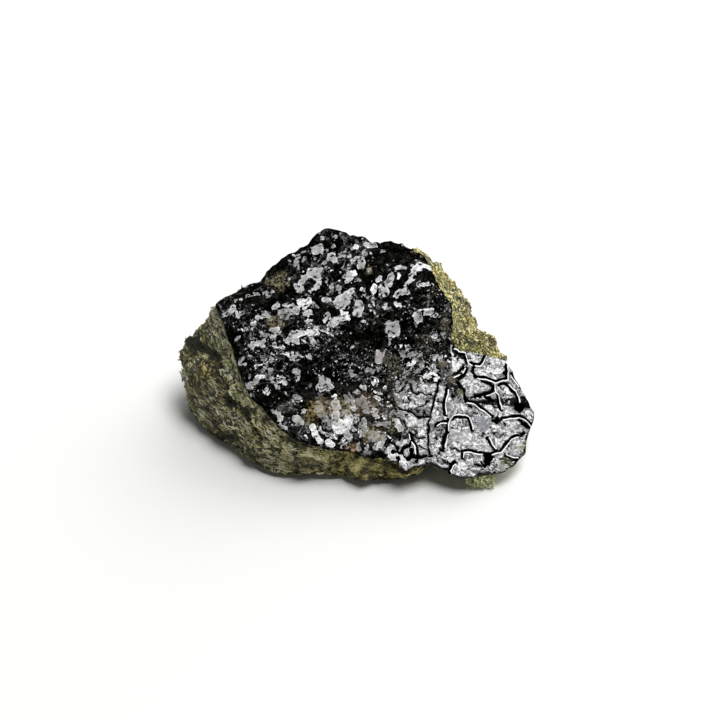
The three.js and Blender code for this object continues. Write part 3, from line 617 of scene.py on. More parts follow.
def rimRadius(angle):
    # the solid's rim, made a little ragged
    return rimAt(angle)[0] + crust["rimRagged"] * ringNoise(angle, *crust["rimLumps"], 97)


def crustThickness(angle):
    # thicker and thinner round the rim
    spread = ringNoise(angle, *crust["thicknessLumps"], 99)
    return crust["thickness"] * (1 + crust["thicknessSpread"] * spread)


# Both pieces are boxes of squares, drawn out to the stone's form: a face above, bands round the sides and
# a face below
def boxFace(steps):
    # for each point of a face of steps by steps squares, its direction from the heart and its reach,
    # 0 at the middle and 1 at the border
    bx, by = np.meshgrid(*(np.linspace(-1, 1, n + 1) for n in steps), indexing="ij")
    angle = np.arctan2(by * stone["boxShape"][1], bx * stone["boxShape"][0])
    return angle, np.maximum(np.abs(bx), np.abs(by))


def numbered(steps, first):
    # the numbers of a face's points, row by row from first
    return first + np.arange((steps[0] + 1) * (steps[1] + 1)).reshape(steps[0] + 1, steps[1] + 1)


def faceSquares(steps, first=0):
    # the squares of a face whose points are numbered row by row from first
    grid = numbered(steps, first)
    return np.stack([grid[:-1, :-1], grid[1:, :-1], grid[1:, 1:], grid[:-1, 1:]], -1).reshape(-1, 4)


def faceBorder(steps, first=0):
    # the numbers of a face's border points, anticlockwise from one corner
    grid = numbered(steps, first)
    return np.concatenate([grid[:-1, 0], grid[-1, :-1], grid[:0:-1, -1], grid[0, :0:-1]])


def bandSquares(rings):
    # squares between rings of equally many points, each ring below the one before
    after = np.roll(rings, -1, axis=1)
    return np.stack([rings[:-1], rings[1:], after[1:], after[:-1]], -1).reshape(-1, 4)


def hem(fine, coarse, step):
    # triangles between a ring and one below it with step times fewer points
    number = np.arange(len(fine))
    near = coarse[(number + step // 2) // step % len(coarse)]
    wide = np.stack([fine, near, np.roll(fine, -1)], -1)
    turn = fine[np.arange(len(coarse)) * step + step // 2]
    return np.concatenate([wide, np.stack([coarse, np.roll(coarse, -1), turn], -1)])


def parted(places, squares):
    # each square parted along its shorter diagonal
    p = places[squares]
    short = np.linalg.norm(p[:, 0] - p[:, 2], axis=1) < np.linalg.norm(p[:, 1] - p[:, 3], axis=1)
    first = np.where(short[:, None], squares[:, [0, 1, 2]], squares[:, [0, 1, 3]])
    last = np.where(short[:, None], squares[:, [0, 2, 3]], squares[:, [1, 2, 3]])
    return np.concatenate([first, last])


def joined(x, y, z):
    # three arrays of coordinates as rows of points
    return np.stack(np.broadcast_arrays(x, y, z), -1).reshape(-1, 3)


def addPiece(name, places, faces, material, smoothed=True):
    # a mesh object at the origin, in metres, that stands for the solid and rides on its body
    mesh = bpy.data.meshes.new(name)
    mesh.from_pydata((places * metre).tolist(), [], faces.tolist())
    mesh.polygons.foreach_set("use_smooth", np.full(len(faces), smoothed))
    mesh.materials.append(material)
    piece = bpy.data.objects.new(name, mesh)
    bpy.context.collection.objects.link(piece)
    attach(piece, "root")
    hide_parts("meteorite")
    print(name, "made,", len(faces), "faces")
    return piece


def addShares(piece, name, values):
    # a number for each point of a piece, which its material reads
    layer = piece.data.attributes.new(name, "FLOAT", "POINT")
    layer.data.foreach_set("value", np.asarray(values, np.float32).reshape(-1))


def addColours(piece, name, colours):
    # a colour for each point of a piece, which its material reads
    layer = piece.data.attributes.new(name, "FLOAT_COLOR", "POINT")
    rgba = np.concatenate([colours, np.ones((len(colours), 1))], 1)
    layer.data.foreach_set("color", rgba.astype(np.float32).reshape(-1))


# The rock under the crust. A depth runs from 0 under the crust's edge to 1 at the foot; a direction is
# in degrees round the heart, from the east by the north
rock = dict(
    squares=(272, 168), rows=90, underStep=2, topStep=4,  # over the top; the hidden faces' are larger
    turnSteps=720,  # all the way round, for the length along the waist
    sunk=0.5, sunkPower=8, tuckIn=0.05, overhang=(0.5, 0.6), footPower=1.5,
    # chips, as large as the solid's and smaller, and laths of crystal
    brokenFade=(0.15, 0.12), fineFade=(0.03, 0.03), chipSizes=(0.50, 0.22), chipHeights=(0.24, 0.08),
    lathLong=0.6, lathWide=0.13, lathHeight=0.06, lathWarp=0.22, lathGap=0.5, warpSizes=(0.7, 0.5),
    # the west side swells out above and below a crease; the north-west has a bite at its top
    turnFade=1.4, westWay=178, westHalf=26, swellAbove=0.08, swellBelow=0.12, swellRun=0.06,
    # creaseDark paints shade along the crease; backDark makes the side a little darker below it
    swellFade=(0.08, 0.2), creaseCut=0.26, creaseHalf=0.050, creaseDark=0.85, creaseWander=0.05,
    creaseLumps=(9, 30, 0.6), backDark=0.16, backRun=0.05, toneRun=0.15,
    notchWay=162, notchHalf=13, notchDepth=0.34, notchIn=0.34, notchFade=(0.05, 0.08),
    fibrousFrom=1.2, fibrousSlant=0.4, fibrousRun=2.5, hiddenTone=0.45, hiddenDepth=0.6,
)
# how light the broken sides are: direction from the heart in degrees, the tone near the crust, the tone
# low down, and the depth where one gives way to the other
# the low tones near the crust at -155 and -145 degrees, on the south-west side, are painted shade
sideTones = [
    [-180, 0.90, 0.70, 0.22], [-171, 0.88, 0.72, 0.26], [-165, 0.52, 0.78, 0.10], [-155, 0.34, 0.82, 0.16],
    [-145, 0.28, 0.82, 0.18], [-130, 0.44, 0.80, 0.12], [-110, 0.52, 0.76, 0.12], [-85, 0.38, 0.56, 0.14],
    [-60, 0.38, 0.50, 0.16], [0, 0.58, 0.54, 0.20], [20, 0.56, 0.56, 0.20], [45, 0.58, 0.60, 0.20],
    [60, 0.74, 0.66, 0.20], [90, 0.60, 0.50, 0.20], [135, 0.60, 0.50, 0.25], [160, 0.86, 0.68, 0.22],
    [180, 0.90, 0.70, 0.22],
]
# the crease along the west side, which runs down to the foot at the south-west corner: direction and depth
crease = [
    [140, 0.32], [163, 0.29], [170, 0.25], [176, 0.20], [-178, 0.26], [-170, 0.29], [-164, 0.37],
    [-159, 0.52], [-156, 0.93], [-150, 1.5],
]


def ringLength(angle):
    # length along the waist, in millimetres, from due north round by the west, and the whole way round,
    # summed step by step
    turns = np.linspace(-math.pi, math.pi, rock["turnSteps"] + 1)
    x, y = planPoint(turns, waistAt(turns)[0])
    length = np.concatenate([[0], np.cumsum(np.hypot(np.diff(x), np.diff(y)))])
    start = np.interp(math.pi / 2, turns, length)
    return (np.interp(angle, turns, length) - start) % length[-1], length[-1]


def laths(along, down, whole, seed):
    # nearest point of a stretched lattice wrapped round the sides: its distance in cells and its
    # random number
    count = round(whole / rock["lathLong"])
    u, v = along / whole * count, down / rock["lathWide"]
    cellU, cellV = np.floor(u), np.floor(v)
    best, own = np.full(u.shape, far), np.zeros(u.shape)
    for step in np.ndindex(3, 3):
        i, j = cellU + step[0] - 1, cellV + step[1] - 1
        a = u - i - lattice(i % count, j, 0, seed)
        b = v - j - lattice(i % count, j, 1, seed)
        off = np.hypot(a, b)
        own = np.where(off < best, lattice(i % count, j, 2, seed), own)
        best = np.minimum(best, off)
    return best, own


def sideProfile(angle, depth):
    # radius, height and drop below the crust's edge: a quarter turn out to the waist, then in to the foot
    topRadius, _ = rimAt(angle)
    midRadius, midHeight = waistAt(angle)
    lowRadius, _ = footAt(angle)
    topX, topY = planPoint(angle, topRadius)
    topHeight = broadHeight(topX, topY) - edgeRoll(topX, topY, np.ones_like(topX))
    lowHeight = undersideHeight(*planPoint(angle, lowRadius))
    start, run = rock["overhang"]
    edgeRadius = topRadius - stone["stepIn"] * smooth((topRadius - midRadius + start) / run)
    edgeHeight = topHeight - stone["thickness"]
    waist = (edgeHeight - midHeight) / (edgeHeight - lowHeight)
    upper, below = np.clip(depth / waist, 0, 1), np.clip((depth - waist) / (1 - waist), 0, 1)
    radius = between(edgeRadius, midRadius, np.sin(upper * math.pi / 2))
    radius = np.where(depth > waist, between(midRadius, lowRadius, below ** rock["footPower"]), radius)
    height = between(edgeHeight, midHeight, upper)
    height = np.where(depth > waist, between(midHeight, lowHeight, below), height)
    return radius, height, edgeHeight - height


def facing(angle, way, half):
    # 1 along a way and 0 far from it, falling past one half at about half degrees to each side
    off = np.abs((np.degrees(angle) - way + 180) % 360 - 180)
    return smooth(rock["turnFade"] - off / half)


def within(depth, top, foot):
    # 1 over a side, falling to 0 over these depths at its top and at its foot
    return smooth(depth / top) * smooth((1 - depth) / foot)


def pastCrease(angle, depth):
    # how far down past the crease, in depth, and how far west, from 0 to 1
    turns = np.array([[direction % 360, at] for direction, at in crease])
    line = np.interp(np.degrees(angle) % 360, turns[:, 0], turns[:, 1])
    wander = rock["creaseWander"] * ringNoise(angle, *rock["creaseLumps"], 123)
    return depth + wander - line, facing(angle, rock["westWay"], rock["westHalf"])


def onCrease(past):
    # 1 on the crease, falling to 0 on both sides as a bell does
    return np.exp(-(past / rock["creaseHalf"]) ** 2)


def westSwell(angle, depth):
    # the west side stands out a little above its crease and more below it, and the crease is cut in
    past, west = pastCrease(angle, depth)
    out = between(rock["swellAbove"], rock["swellBelow"], smooth(0.5 + past / rock["swellRun"]))
    return west * (out - rock["creaseCut"] * onCrease(past))


def sidePoints(angle, depth):
    # the profile pushed in and out along the way from the heart by the swell and the bite, by chips of
    # falling size and by laths of crystal that lie along the rim; also the lengths along and down the side
    radius, height, down = sideProfile(angle, depth)
    x, y = planPoint(angle, radius)
    push = westSwell(angle, depth) * within(depth, *rock["swellFade"]) - notch(angle, depth)
    broken, fine = within(depth, *rock["brokenFade"]), within(depth, *rock["fineFade"])
    for fade, sizes, rises, seeds in [
            (broken, stone["chipSizes"], stone["chipHeights"], (31, 41)),
            (fine, rock["chipSizes"], rock["chipHeights"], (101, 105))]:
        for size, rise, seed in zip(sizes, rises, seeds):
            push = push + fade * rise * (chips(x / size, y / size, height / size, seed) - stone["chipMiddle"])
    along, whole = ringLength(angle)
    downWarp, alongWarp = (
        rock["lathWarp"] * noise(x / size, y / size, height / size, seed)
        for size, seed in zip(rock["warpSizes"], (111, 112)))
    down = down + downWarp
    off, own = laths(along + alongWarp, down, whole, 113)
    push = push + fine * rock["lathHeight"] * (own - rock["lathGap"] * off)
    x, y = planPoint(angle, radius + push)
    return x, y, height, along, down


def notch(angle, depth):
    # a bite out of the top of the north-west side
    top, foot = rock["notchFade"]
    bite = facing(angle, rock["notchWay"], rock["notchHalf"]) * smooth((rock["notchDepth"] - depth) / foot)
    return rock["notchIn"] * bite * smooth(depth / top)


def fibreShare(x, y):
    # 1 on the fibrous west and south-west sides, 0 on the crumbly rest
    return smooth((rock["fibrousFrom"] - x + rock["fibrousSlant"] * y) / rock["fibrousRun"])


def sideTone(angle, depth):
    # how light the side is, from dark 0 to light 1: between the tones near the crust and low down, with
    # painted shade along the crease and a little darker past it
    turns, high, low, change = np.array(sideTones).T
    high, low, change = (np.interp(np.degrees(angle), turns, row) for row in (high, low, change))
    past, west = pastCrease(angle, depth)
    dark = rock["creaseDark"] * onCrease(past) + rock["backDark"] * smooth(past / rock["backRun"])
    return between(high, low, smooth((depth - change) / rock["toneRun"] + 0.5)) - west * dark


def makeRock(material):
    # the sides are the broken surface, the hidden top lies inside the crust, and the underside is flat
    steps, rows = rock["squares"], rock["rows"]
    angle, _ = boxFace(steps)
    ring = angle.reshape(-1)[faceBorder(steps)]
    depth = np.linspace(0, 1, rows + 1)[:-1, None] * np.ones(len(ring))
    ring = np.broadcast_to(ring, depth.shape)
    x, y, z, along, down = sidePoints(ring, depth)
    side = joined(x, y, z)
    topSteps = [n // rock["topStep"] for n in steps]
    angle, reach = boxFace(topSteps)
    x, y = planPoint(angle, reach * (sideProfile(angle, 0 * angle)[0] - rock["tuckIn"]))
    sunk = between(rock["sunk"], stone["thickness"], reach ** rock["sunkPower"])
    top = joined(x, y, broadHeight(x, y) - edgeRoll(x, y, reach) - sunk)
    lowSteps = [n // rock["underStep"] for n in steps]
    angle, reach = boxFace(lowSteps)
    x, y = planPoint(angle, reach * footAt(angle)[0])
    low = joined(x, y, undersideHeight(x, y))
    places = np.concatenate([side, top, low])
    firstTop, firstLow = len(side), len(side) + len(top)
    rings = np.arange(len(side)).reshape(rows, -1)
    faces = np.concatenate([
        parted(places, bandSquares(rings)), parted(places, faceSquares(topSteps, firstTop)),
        parted(places, faceSquares(lowSteps, firstLow)[:, ::-1]),
        hem(rings[0], faceBorder(topSteps, firstTop), rock["topStep"])[:, ::-1],
        hem(rings[-1], faceBorder(lowSteps, firstLow), rock["underStep"])])
    piece = addPiece("rock", places, faces, material)
    hidden = places[len(side):]
    for name, values, others in [
            ("tone", sideTone(ring, depth), rock["hiddenTone"]), ("depth", depth, rock["hiddenDepth"]),
            ("along", along, hidden[:, 0]), ("down", down, hidden[:, 1]),
            ("fibrous", fibreShare(side[:, 0], side[:, 1]), 0.0)]:
        addShares(piece, name, np.concatenate([values.reshape(-1), np.broadcast_to(others, len(hidden))]))


def makeCrust(material):
    # the wrinkled top, a ragged edge that curls in and an underside with larger squares
    steps = crust["squares"]
    angle, reach = boxFace(steps)
    x, y = planPoint(angle, reach * rimRadius(angle))
    top = joined(x, y, crustHeight(x, y, reach))
    border = faceBorder(steps)
    ring, rim = angle.reshape(-1)[border], top[border]
    share = np.linspace(0, 1, crust["edgeRows"] + 1)[1:, None]
    inward = stone["stepIn"] * (share * crust["edgeCurl"]) ** 2 - crust["edgeBulge"] * np.sin(share * math.pi)
    edgeX = rim[:, 0] - inward * np.cos(ring)
    edgeY = rim[:, 1] - inward * np.sin(ring)
    edge = joined(edgeX, edgeY, rim[:, 2] - share * crustThickness(ring))
    lowSteps = [n // crust["underStep"] for n in steps]
    angle, reach = boxFace(lowSteps)
    x, y = planPoint(angle, reach * (rimRadius(angle) - stone["stepIn"] * 2))
    low = joined(x, y, broadHeight(x, y) - edgeRoll(x, y, reach) - crust["thickness"])
    places = np.concatenate([top, edge, low])
    rings = np.concatenate([border[None], len(top) + np.arange(len(edge)).reshape(len(share), -1)])
    firstLow = len(top) + len(edge)
    piece = addPiece("crust", places, np.concatenate([
        parted(places, faceSquares(steps)), parted(places, bandSquares(rings)),
        parted(places, faceSquares(lowSteps, firstLow)[:, ::-1]),
        hem(rings[-1], faceBorder(lowSteps, firstLow), crust["underStep"])]), material)
    x, y = places[:, 0], places[:, 1]
    flat = flatness(top.reshape(steps[0] + 1, steps[1] + 1, 3)).reshape(-1)
    dull, colour = crustMarks(x, y)
    foldOff, foldSide = foldPlaces(x, y)
    glintIn, glintTone = glintPlaces(x, y)
    addColours(piece, "mark", colour)
    for name, values in [
            ("dull", dull), ("foldOff", foldOff), ("foldSide", foldSide), ("blackOff", blackPlaces(x, y)),
            ("lump", lumpShare(x, y)), ("stipple", stippleShare(x, y)), ("plate", plateShare(x, y)),
            ("glintIn", glintIn), ("glintTone", glintTone),
            ("flat", np.concatenate([flat, np.zeros(len(places) - len(flat))]))]:
        addShares(piece, name, values)


# Colours of the rock, from dark to light
tones = [
    (0.0, (0.020, 0.018, 0.009)), (0.25, (0.105, 0.097, 0.044)), (0.45, (0.25, 0.235, 0.105)),
    (0.65, (0.44, 0.415, 0.22)), (0.85, (0.68, 0.65, 0.42)), (1.0, (0.86, 0.83, 0.65)),
]
eastTint = (1.0, 0.96, 0.66)  # the crumbly side is yellower
# Loose-edged crystals on the broken sides
grains = dict(
    count=14000, seed=5, firstDepth=0.015, lastDepth=0.97,
    along=(0.06, 0.16), fibreAlong=(0.08, 0.30), across=(0.025, 0.07), deep=(0.025, 0.06), taper=0.6,
    slant=24, lift=0.18, outward=0.1, step=0.01,  # step: a short way in direction and depth
    clump=0.50, clumpSpread=0.8, fineClump=0.2, fineSpread=0.9, spread=0.20,
    greenShare=0.2, green=(0.94, 1.0, 0.70), goldShare=0.25, gold=(1.0, 0.88, 0.60),
)
tuft = dict(
    count=420, seed=8, middle=(5.28, -4.52, 0.36), spread=(0.36, 0.20, 0.20), furthest=1.6,
    # a tone above the lightest of the rock: painted light, so that the tuft stays light in the lobe's shade
    tone=1.10, toneSpread=0.14,
)
boxCorners = np.array([[x, y, z] for z in (-1, 1) for y in (-1, 1) for x in (-1, 1)], float)
boxFaces = np.array([[0, 2, 3, 1], [4, 5, 7, 6], [0, 1, 5, 4], [2, 6, 7, 3], [0, 4, 6, 2], [1, 3, 7, 5]])


def unit(v):
    # the same way, one unit long
    return v / np.linalg.norm(v, axis=-1, keepdims=True)


def toneColour(value):
    # the colour of a tone from 0 to 1
    stops, colours = [s for s, _ in tones], np.array([c for _, c in tones])
    return np.stack([np.interp(value, stops, colours[:, k]) for k in range(3)], -1)


def makeBlocks(name, spot, axis, out, long, tint, rng, material):
    # a tapered block at each spot, as long as it says along its axis and turned at random about it
    n = len(spot)
    side = unit(np.cross(axis, out))
    top = np.cross(side, axis)
    roll = rng.uniform(0, math.pi, n)[:, None]
    side, top = side * np.cos(roll) + top * np.sin(roll), top * np.cos(roll) - side * np.sin(roll)
    size = np.stack([long, rng.uniform(*grains["across"], n), rng.uniform(*grains["deep"], n)], -1) / 2
    shape = boxCorners[None] * size[:, None]
    narrow = 1 - grains["taper"] * rng.random((n, 1)) * (boxCorners[:, 0] > 0)
    shape = np.concatenate([shape[..., :1], shape[..., 1:] * narrow[..., None]], -1)
    places = spot[:, None] + shape[..., :1] * axis[:, None] + shape[..., 1:2] * side[:, None]
    places = (places + shape[..., 2:] * top[:, None]).reshape(-1, 3)
    places[:, 2] = np.maximum(places[:, 2], 0)
    corners = len(boxCorners)
    faces = (boxFaces[None] + corners * np.arange(n)[:, None, None]).reshape(-1, 4)
    piece = addPiece(name, places, faces, material, smoothed=False)
    addColours(piece, "tint", np.repeat(tint, corners, axis=0))


def profilePoint(angle, depth):
    # a point on the smooth side, before anything breaks it
    radius, height, _ = sideProfile(angle, depth)
    return np.stack([*planPoint(angle, radius), height], -1)


def makeGrains(material):
    # grains lie in the broken surface: their long axes follow the rim with a random slant, and they are
    # longer on the fibrous sides; clumps of them are lighter or darker, and some are green or golden
    g, rng = grains, np.random.default_rng(grains["seed"])
    n, step = g["count"], g["step"]
    angle = rng.uniform(-math.pi, math.pi, n)
    depth = rng.uniform(g["firstDepth"], g["lastDepth"], n)
    spot = np.stack(sidePoints(angle, depth)[:3], -1)
    along = unit(profilePoint(angle + step, depth) - profilePoint(angle - step, depth))
    down = unit(profilePoint(angle, depth + step) - profilePoint(angle, depth - step))
    out = unit(np.cross(down, along))
    slant = np.radians(rng.normal(0, g["slant"], n))[:, None]
    axis = unit(along * np.cos(slant) + down * np.sin(slant) + out * rng.normal(0, g["lift"], n)[:, None])
    # the tone starts from the side's, with its painted shade along the crease and on the south-west side
    tone = sideTone(angle, depth) + g["clumpSpread"] * noise(*(spot / g["clump"]).T, 141)
    tone = tone + g["fineSpread"] * noise(*(spot / g["fineClump"]).T, 142) + rng.normal(0, g["spread"], n)
    tint, kind = toneColour(tone), rng.random(n)[:, None]
    tint = np.where(kind < g["greenShare"], tint * g["green"], tint)
    tint = np.where(kind > 1 - g["goldShare"], tint * g["gold"], tint)
    fibrous = rng.random(n) < fibreShare(spot[:, 0], spot[:, 1])
    tint = np.where(fibrous[:, None], tint, tint * eastTint)
    long = np.where(fibrous, rng.uniform(*g["fibreAlong"], n), rng.uniform(*g["along"], n))
    spot = spot + out * (np.mean(g["deep"]) * g["outward"])
    makeBlocks("crystal_grains", spot, axis, out, long, tint, rng, material)


def makeTuft(material):
    # a heap of the same grains, yellow-green, in the nook under the lobe's front edge, painted lighter
    # than the rock so that it stays light in the lobe's shade
    rng = np.random.default_rng(tuft["seed"])
    n, furthest = tuft["count"], tuft["furthest"]
    away = np.clip(rng.normal(0, 1, (n, 3)), -furthest, furthest)
    spot = np.array(tuft["middle"]) + away * tuft["spread"]
    axis, out = unit(rng.normal(0, 1, (n, 3))), unit(rng.normal(0, 1, (n, 3)))
    tint = toneColour(rng.normal(tuft["tone"], tuft["toneSpread"], n)) * grains["green"]
    makeBlocks("green_tuft", spot, axis, out, rng.uniform(*grains["along"], n), tint, rng, material)


class Wire:
    # wraps a socket, so that each sum, difference or product of values adds a Math node
    def __init__(self, kit, socket):
        self.kit, self.socket = kit, socket

    def math(self, operation, *values):
        return self.kit.node("ShaderNodeMath", {"operation": operation}, dict(enumerate(values)))

    def __add__(self, other):
        return self.math("ADD", self, other)

    def __radd__(self, other):
        return self.math("ADD", other, self)

    def __sub__(self, other):
        return self.math("SUBTRACT", self, other)

    def __rsub__(self, other):
        return self.math("SUBTRACT", other, self)

    def __mul__(self, other):
        return self.math("MULTIPLY", self, other)


class Kit:
    # the nodes of one material or world
    def __init__(self, owner):
        self.owner = owner
        owner.use_nodes = True
        self.tree = owner.node_tree
        self.tree.nodes.clear()

    def node(self, kind, settings=None, sockets=None, output=0):
        # makes a node: settings first, a ramp's stops among them, then its sockets' values or links
        made = self.tree.nodes.new(kind)
        for key, value in (settings or {}).items():
            if key == "stops":
                ramp = made.color_ramp
                while len(ramp.elements) < len(value):
                    ramp.elements.new(0.5)
                for stop, (place, colour) in zip(ramp.elements, value):
                    stop.position, stop.color = place, (*colour, 1)
            elif key == "blend":
                made.color_ramp.interpolation = value
            else:
                setattr(made, key, value)
        for key, value in (sockets or {}).items():
            socket = made.inputs[key]
            if isinstance(value, Wire):
                self.tree.links.new(value.socket, socket)
            else:
                socket.default_value = value
        return Wire(self, made.outputs[output]) if made.outputs else None

    def place(self):
        # the point on the piece, in millimetres
        spot = self.node("ShaderNodeTexCoord", output="Object")
        return self.node("ShaderNodeVectorMath", {"operation": "SCALE"}, {0: spot, "Scale": 1 / metre})

    def attribute(self, name, output="Fac"):
        # a number, or with "Color" a colour, that the mesh holds for each point
        return self.node("ShaderNodeAttribute", {"attribute_name": name}, output=output)

    def grain(self, place, scale, detail, rough=0.5, warp=0.0):
        # noise in 0..1: scale in lumps per millimetre, finer layers, how strong they are, and distortion
        return self.node("ShaderNodeTexNoise", {}, {
            "Vector": place, "Scale": scale, "Detail": detail, "Roughness": rough, "Distortion": warp})

    def cell(self, place, scale, number=0):
        # a random number for each cell of a scattered pattern, scale in cells per millimetre
        colour = self.node("ShaderNodeTexVoronoi", {}, {"Vector": place, "Scale": scale}, output="Color")
        return self.node("ShaderNodeSeparateXYZ", {}, {0: colour}, output=number)

    def middle(self, place, scale):
        # the distance from the middle of that pattern's cells, in cells
        return self.node("ShaderNodeTexVoronoi", {}, {"Vector": place, "Scale": scale})

    def border(self, place, scale):
        # the distance from the border of that pattern's cells, in cells
        return self.node("ShaderNodeTexVoronoi", {"feature": "DISTANCE_TO_EDGE"}, {
            "Vector": place, "Scale": scale})

    def stirred(self, place, scale, size):
        # places moved along each axis by noise in 0..1 less a half, times twice the size
        push = self.node("ShaderNodeTexNoise", {}, {"Vector": place, "Scale": scale}, output="Color")
        middle = self.node("ShaderNodeVectorMath", {"operation": "SUBTRACT"}, {0: push, 1: (0.5, 0.5, 0.5)})
        push = self.node("ShaderNodeVectorMath", {"operation": "SCALE"}, {0: middle, "Scale": 2 * size})
        return self.node("ShaderNodeVectorMath", {"operation": "ADD"}, {0: place, 1: push})

    def step(self, value, low, high):
        # 0 at low and 1 at high, smoothly, whichever is larger
        settings = {"interpolation_type": "SMOOTHSTEP"}
        return self.node("ShaderNodeMapRange", settings, {"Value": value, "From Min": low, "From Max": high})

    def away(self, value, middle):
        # how far a value is from a middle one
        return self.node("ShaderNodeMath", {"operation": "ABSOLUTE"}, {0: value - middle})

    def larger(self, one, other):
        # the larger of two values
        return self.node("ShaderNodeMath", {"operation": "MAXIMUM"}, {0: one, 1: other})

    def between(self, low, high, share):
        # low moved towards high by share
        return self.node("ShaderNodeMix", {"data_type": "FLOAT"}, {0: share, 2: low, 3: high})

    def mixWay(self, share, one, other):
        # a way between two ways, one unit long
        mixed = self.node("ShaderNodeMix", {"data_type": "VECTOR"}, {0: share, 4: one, 5: other}, output=1)
        return self.node("ShaderNodeVectorMath", {"operation": "NORMALIZE"}, {0: mixed})

    def ramp(self, value, stops, blend="LINEAR"):
        # the colour of a value, by stops
        return self.node("ShaderNodeValToRGB", {"stops": stops, "blend": blend}, {0: value})

    def turned(self, place, degrees, scale):
        # places in a pattern turned about the height and stretched
        return self.node("ShaderNodeMapping", {"vector_type": "TEXTURE"}, {
            "Vector": place, "Rotation": (0, 0, math.radians(degrees)), "Scale": scale})

    def mixColour(self, share, one, other, mode="MIX"):
        # one colour moved towards another by share; with MULTIPLY, towards their product
        ends = [v if isinstance(v, Wire) else (*v, 1) for v in (one, other)]
        settings = {"data_type": "RGBA", "blend_type": mode}
        return self.node("ShaderNodeMix", settings, {0: share, 6: ends[0], 7: ends[1]}, output=2)

    def bump(self, height, strength, distance):
        # the surface's way, tilted by a height; the distance is in metres
        return self.node("ShaderNodeBump", {}, {"Height": height, "Strength": strength, "Distance": distance})

    def finish(self, shader):
        # the material that shows this shader
        self.node("ShaderNodeOutputMaterial", {}, {"Surface": shader})
        return self.owner


# The looks. Four numbers after a pattern's name are its scale in lumps per millimetre, its finer layers,
# how strong they are, and its distortion; two numbers are where something starts and where it is full
rockLook = dict(
    # patterns, and how far each spreads the tone
    fibre=(1.8, 7.0), fibreStir=(1.0, 0.9), crumb=6.5, crumbStir=(4.0, 0.09), ownSpread=0.9,
    patches=(1.6, 3.0, 0.6, 0.4), patchSpread=1.2, fine=(12.0, 3.0, 0.6, 0.4), fineSpread=0.9,
    gap=0.12, strands=0.8, strandMiddle=0.5, strandHalf=(0.045, 0.012), strandCrumb=(2.6, 3.0, 0.6, 0.8),
    strandFibre=(0.8, 3.0, 0.6, 0.5), cracks=0.9, crackMiddle=0.47, crackHalf=(0.05, 0.015),
    crackCrumb=(3.3, 2.0, 0.6, 0.8), crackFibre=(1.1, 2.0, 0.6, 0.8),
    # tints, and where they start
    green=(0.92, 1.0, 0.68), greenAt=(0.9, 3.0, 0.6, 0.3), greenRun=(0.48, 0.60),
    gold=(1.0, 0.86, 0.58), goldAt=(1.3, 3.0, 0.6, 0.2), goldRun=(0.51, 0.61),
    # the dark band under the crust where the side is dark: partly scorch, partly painted shade
    scorchAndShade=(0.016, 0.015, 0.011), scorchAndShadeDepth=0.14, scorchAndShadeSpread=0.25, scorchAndShadeTone=(0.46, 0.54),
    # relief and gloss
    ownRise=0.3, gapRise=0.5, riseGap=0.2, fineRise=0.5, strandRise=0.4, crackFall=0.7,
    bump=1.0, bumpDepth=0.00008, roughness=0.5, ior=1.5,
)
crustLook = dict(
    # the soot-black ground, and the way that every glassy part faces
    ground=[(0.48, (0.0003, 0.0003, 0.0003)), (0.59, (0.010, 0.0098, 0.008)), (0.70, (0.048, 0.046, 0.036))],
    mattRough=0.8, mattShine=0.0, ior=1.95, flatWay=(0.135, -0.39, 1.0),
    flatLevel=0.45, plateLevel=0.25, glintLevel=0.9,
    # patterns
    grainTurn=20, grainStretch=(1.5, 1.0, 1.0), raggedGrain=(5.0, 2.0, 0.6, 0.5), mottle=(4.5, 2.0, 0.6, 0.9),
    patches=(1.0, 2.0, 0.6, 0.3), fine=(14.0, 2.0, 0.6, 0.3), streaks=(7.0, 3.0, 0.6, 0.3),
    creases=(1.3, 3.0, 0.6, 0.8), specks=(9.0, 3.0, 0.65, 0.4), grit=(7.0, 3.0, 0.7, 0.6),
    # plates
    ragged=1.5, plateFlat=0.85, plateRun=(0.36, 0.60), shapeShine=0.03, holes=(0.40, 0.50), plateHoles=0.65,
    crease=(0.014, 0.005), creaseDark=0.75,
    # glints
    glintRagged=0.16, fineRagged=0.10, facetSize=6.0, facetRagged=0.13, glintRun=(-0.010, 0.006),
    lip=(0.055, 0.025), cracks=(0.545, 0.585), whole=0.05,
    # blobs, stipple and scratches: pattern scale, then chance, its spread and the size of a spot
    stir=(5.0, 0.10), knead=(2.5, 0.22), cobble=2.1, cobbleGap=(0.07, 0.14), cobbleChance=0.60,
    cobbleDim=0.45, dimSpread=0.5, lumpRun=(0.4, 0.6), chosenRun=(0.0, 0.02), spotEdge=0.05,
    blobs=[(3.0, 0.02, 0.5, 0.40), (5.5, 0.04, 0.9, 0.42)], stipple=[(9.0, 0.20, 0.42), (16.0, 0.16, 0.45)],
    scratchTurns=(38, -42), scratchStretch=(4.0, 1.0, 1.0), scratch=1.9, scratchHalf=(0.035, 0.010),
    scratched=(0.50, 0.58), scratchStipple=0.1, scratchShine=0.6, pits=0.8, pitRun=(0.60, 0.50),
    # folds, grooves and marks; a fold's flank and the black of grooves and hollows are painted shade
    crest=0.025, crestWander=0.2, crestRun=(0.012, 0.010), flankShade=0.095, flankSide=0.055, flankRun=0.02,
    foldWander=0.10, blackWander=0.5, blackRun=(0.012, -0.012), groundShare=0.5,
    dullShare=0.6, dullSpread=1.1, speckRun=(0.22, 0.58),
    # roughness, which sets how light the glass looks
    shapeRough=0.42, roughSpread=1.2, plateRough=0.265, gritSpread=1.7, rimWide=0.16, rimStart=0.08,
    rimRough=0.10, blobRough=0.22, blobSpread=0.30, blobMottle=0.6, dullRough=0.54, toneRough=0.25,
    lipRough=0.12, streakSpread=0.85, dullness=0.15, leastRough=0.13, crestRough=0.15,
    bump=1.0, bumpDepth=0.000012, fineShare=0.8,
)
grainLook = dict(dark=(0.03, 0.028, 0.015), cloud=0.5, clouds=(9.0, 2.0), roughness=0.55, ior=1.45)


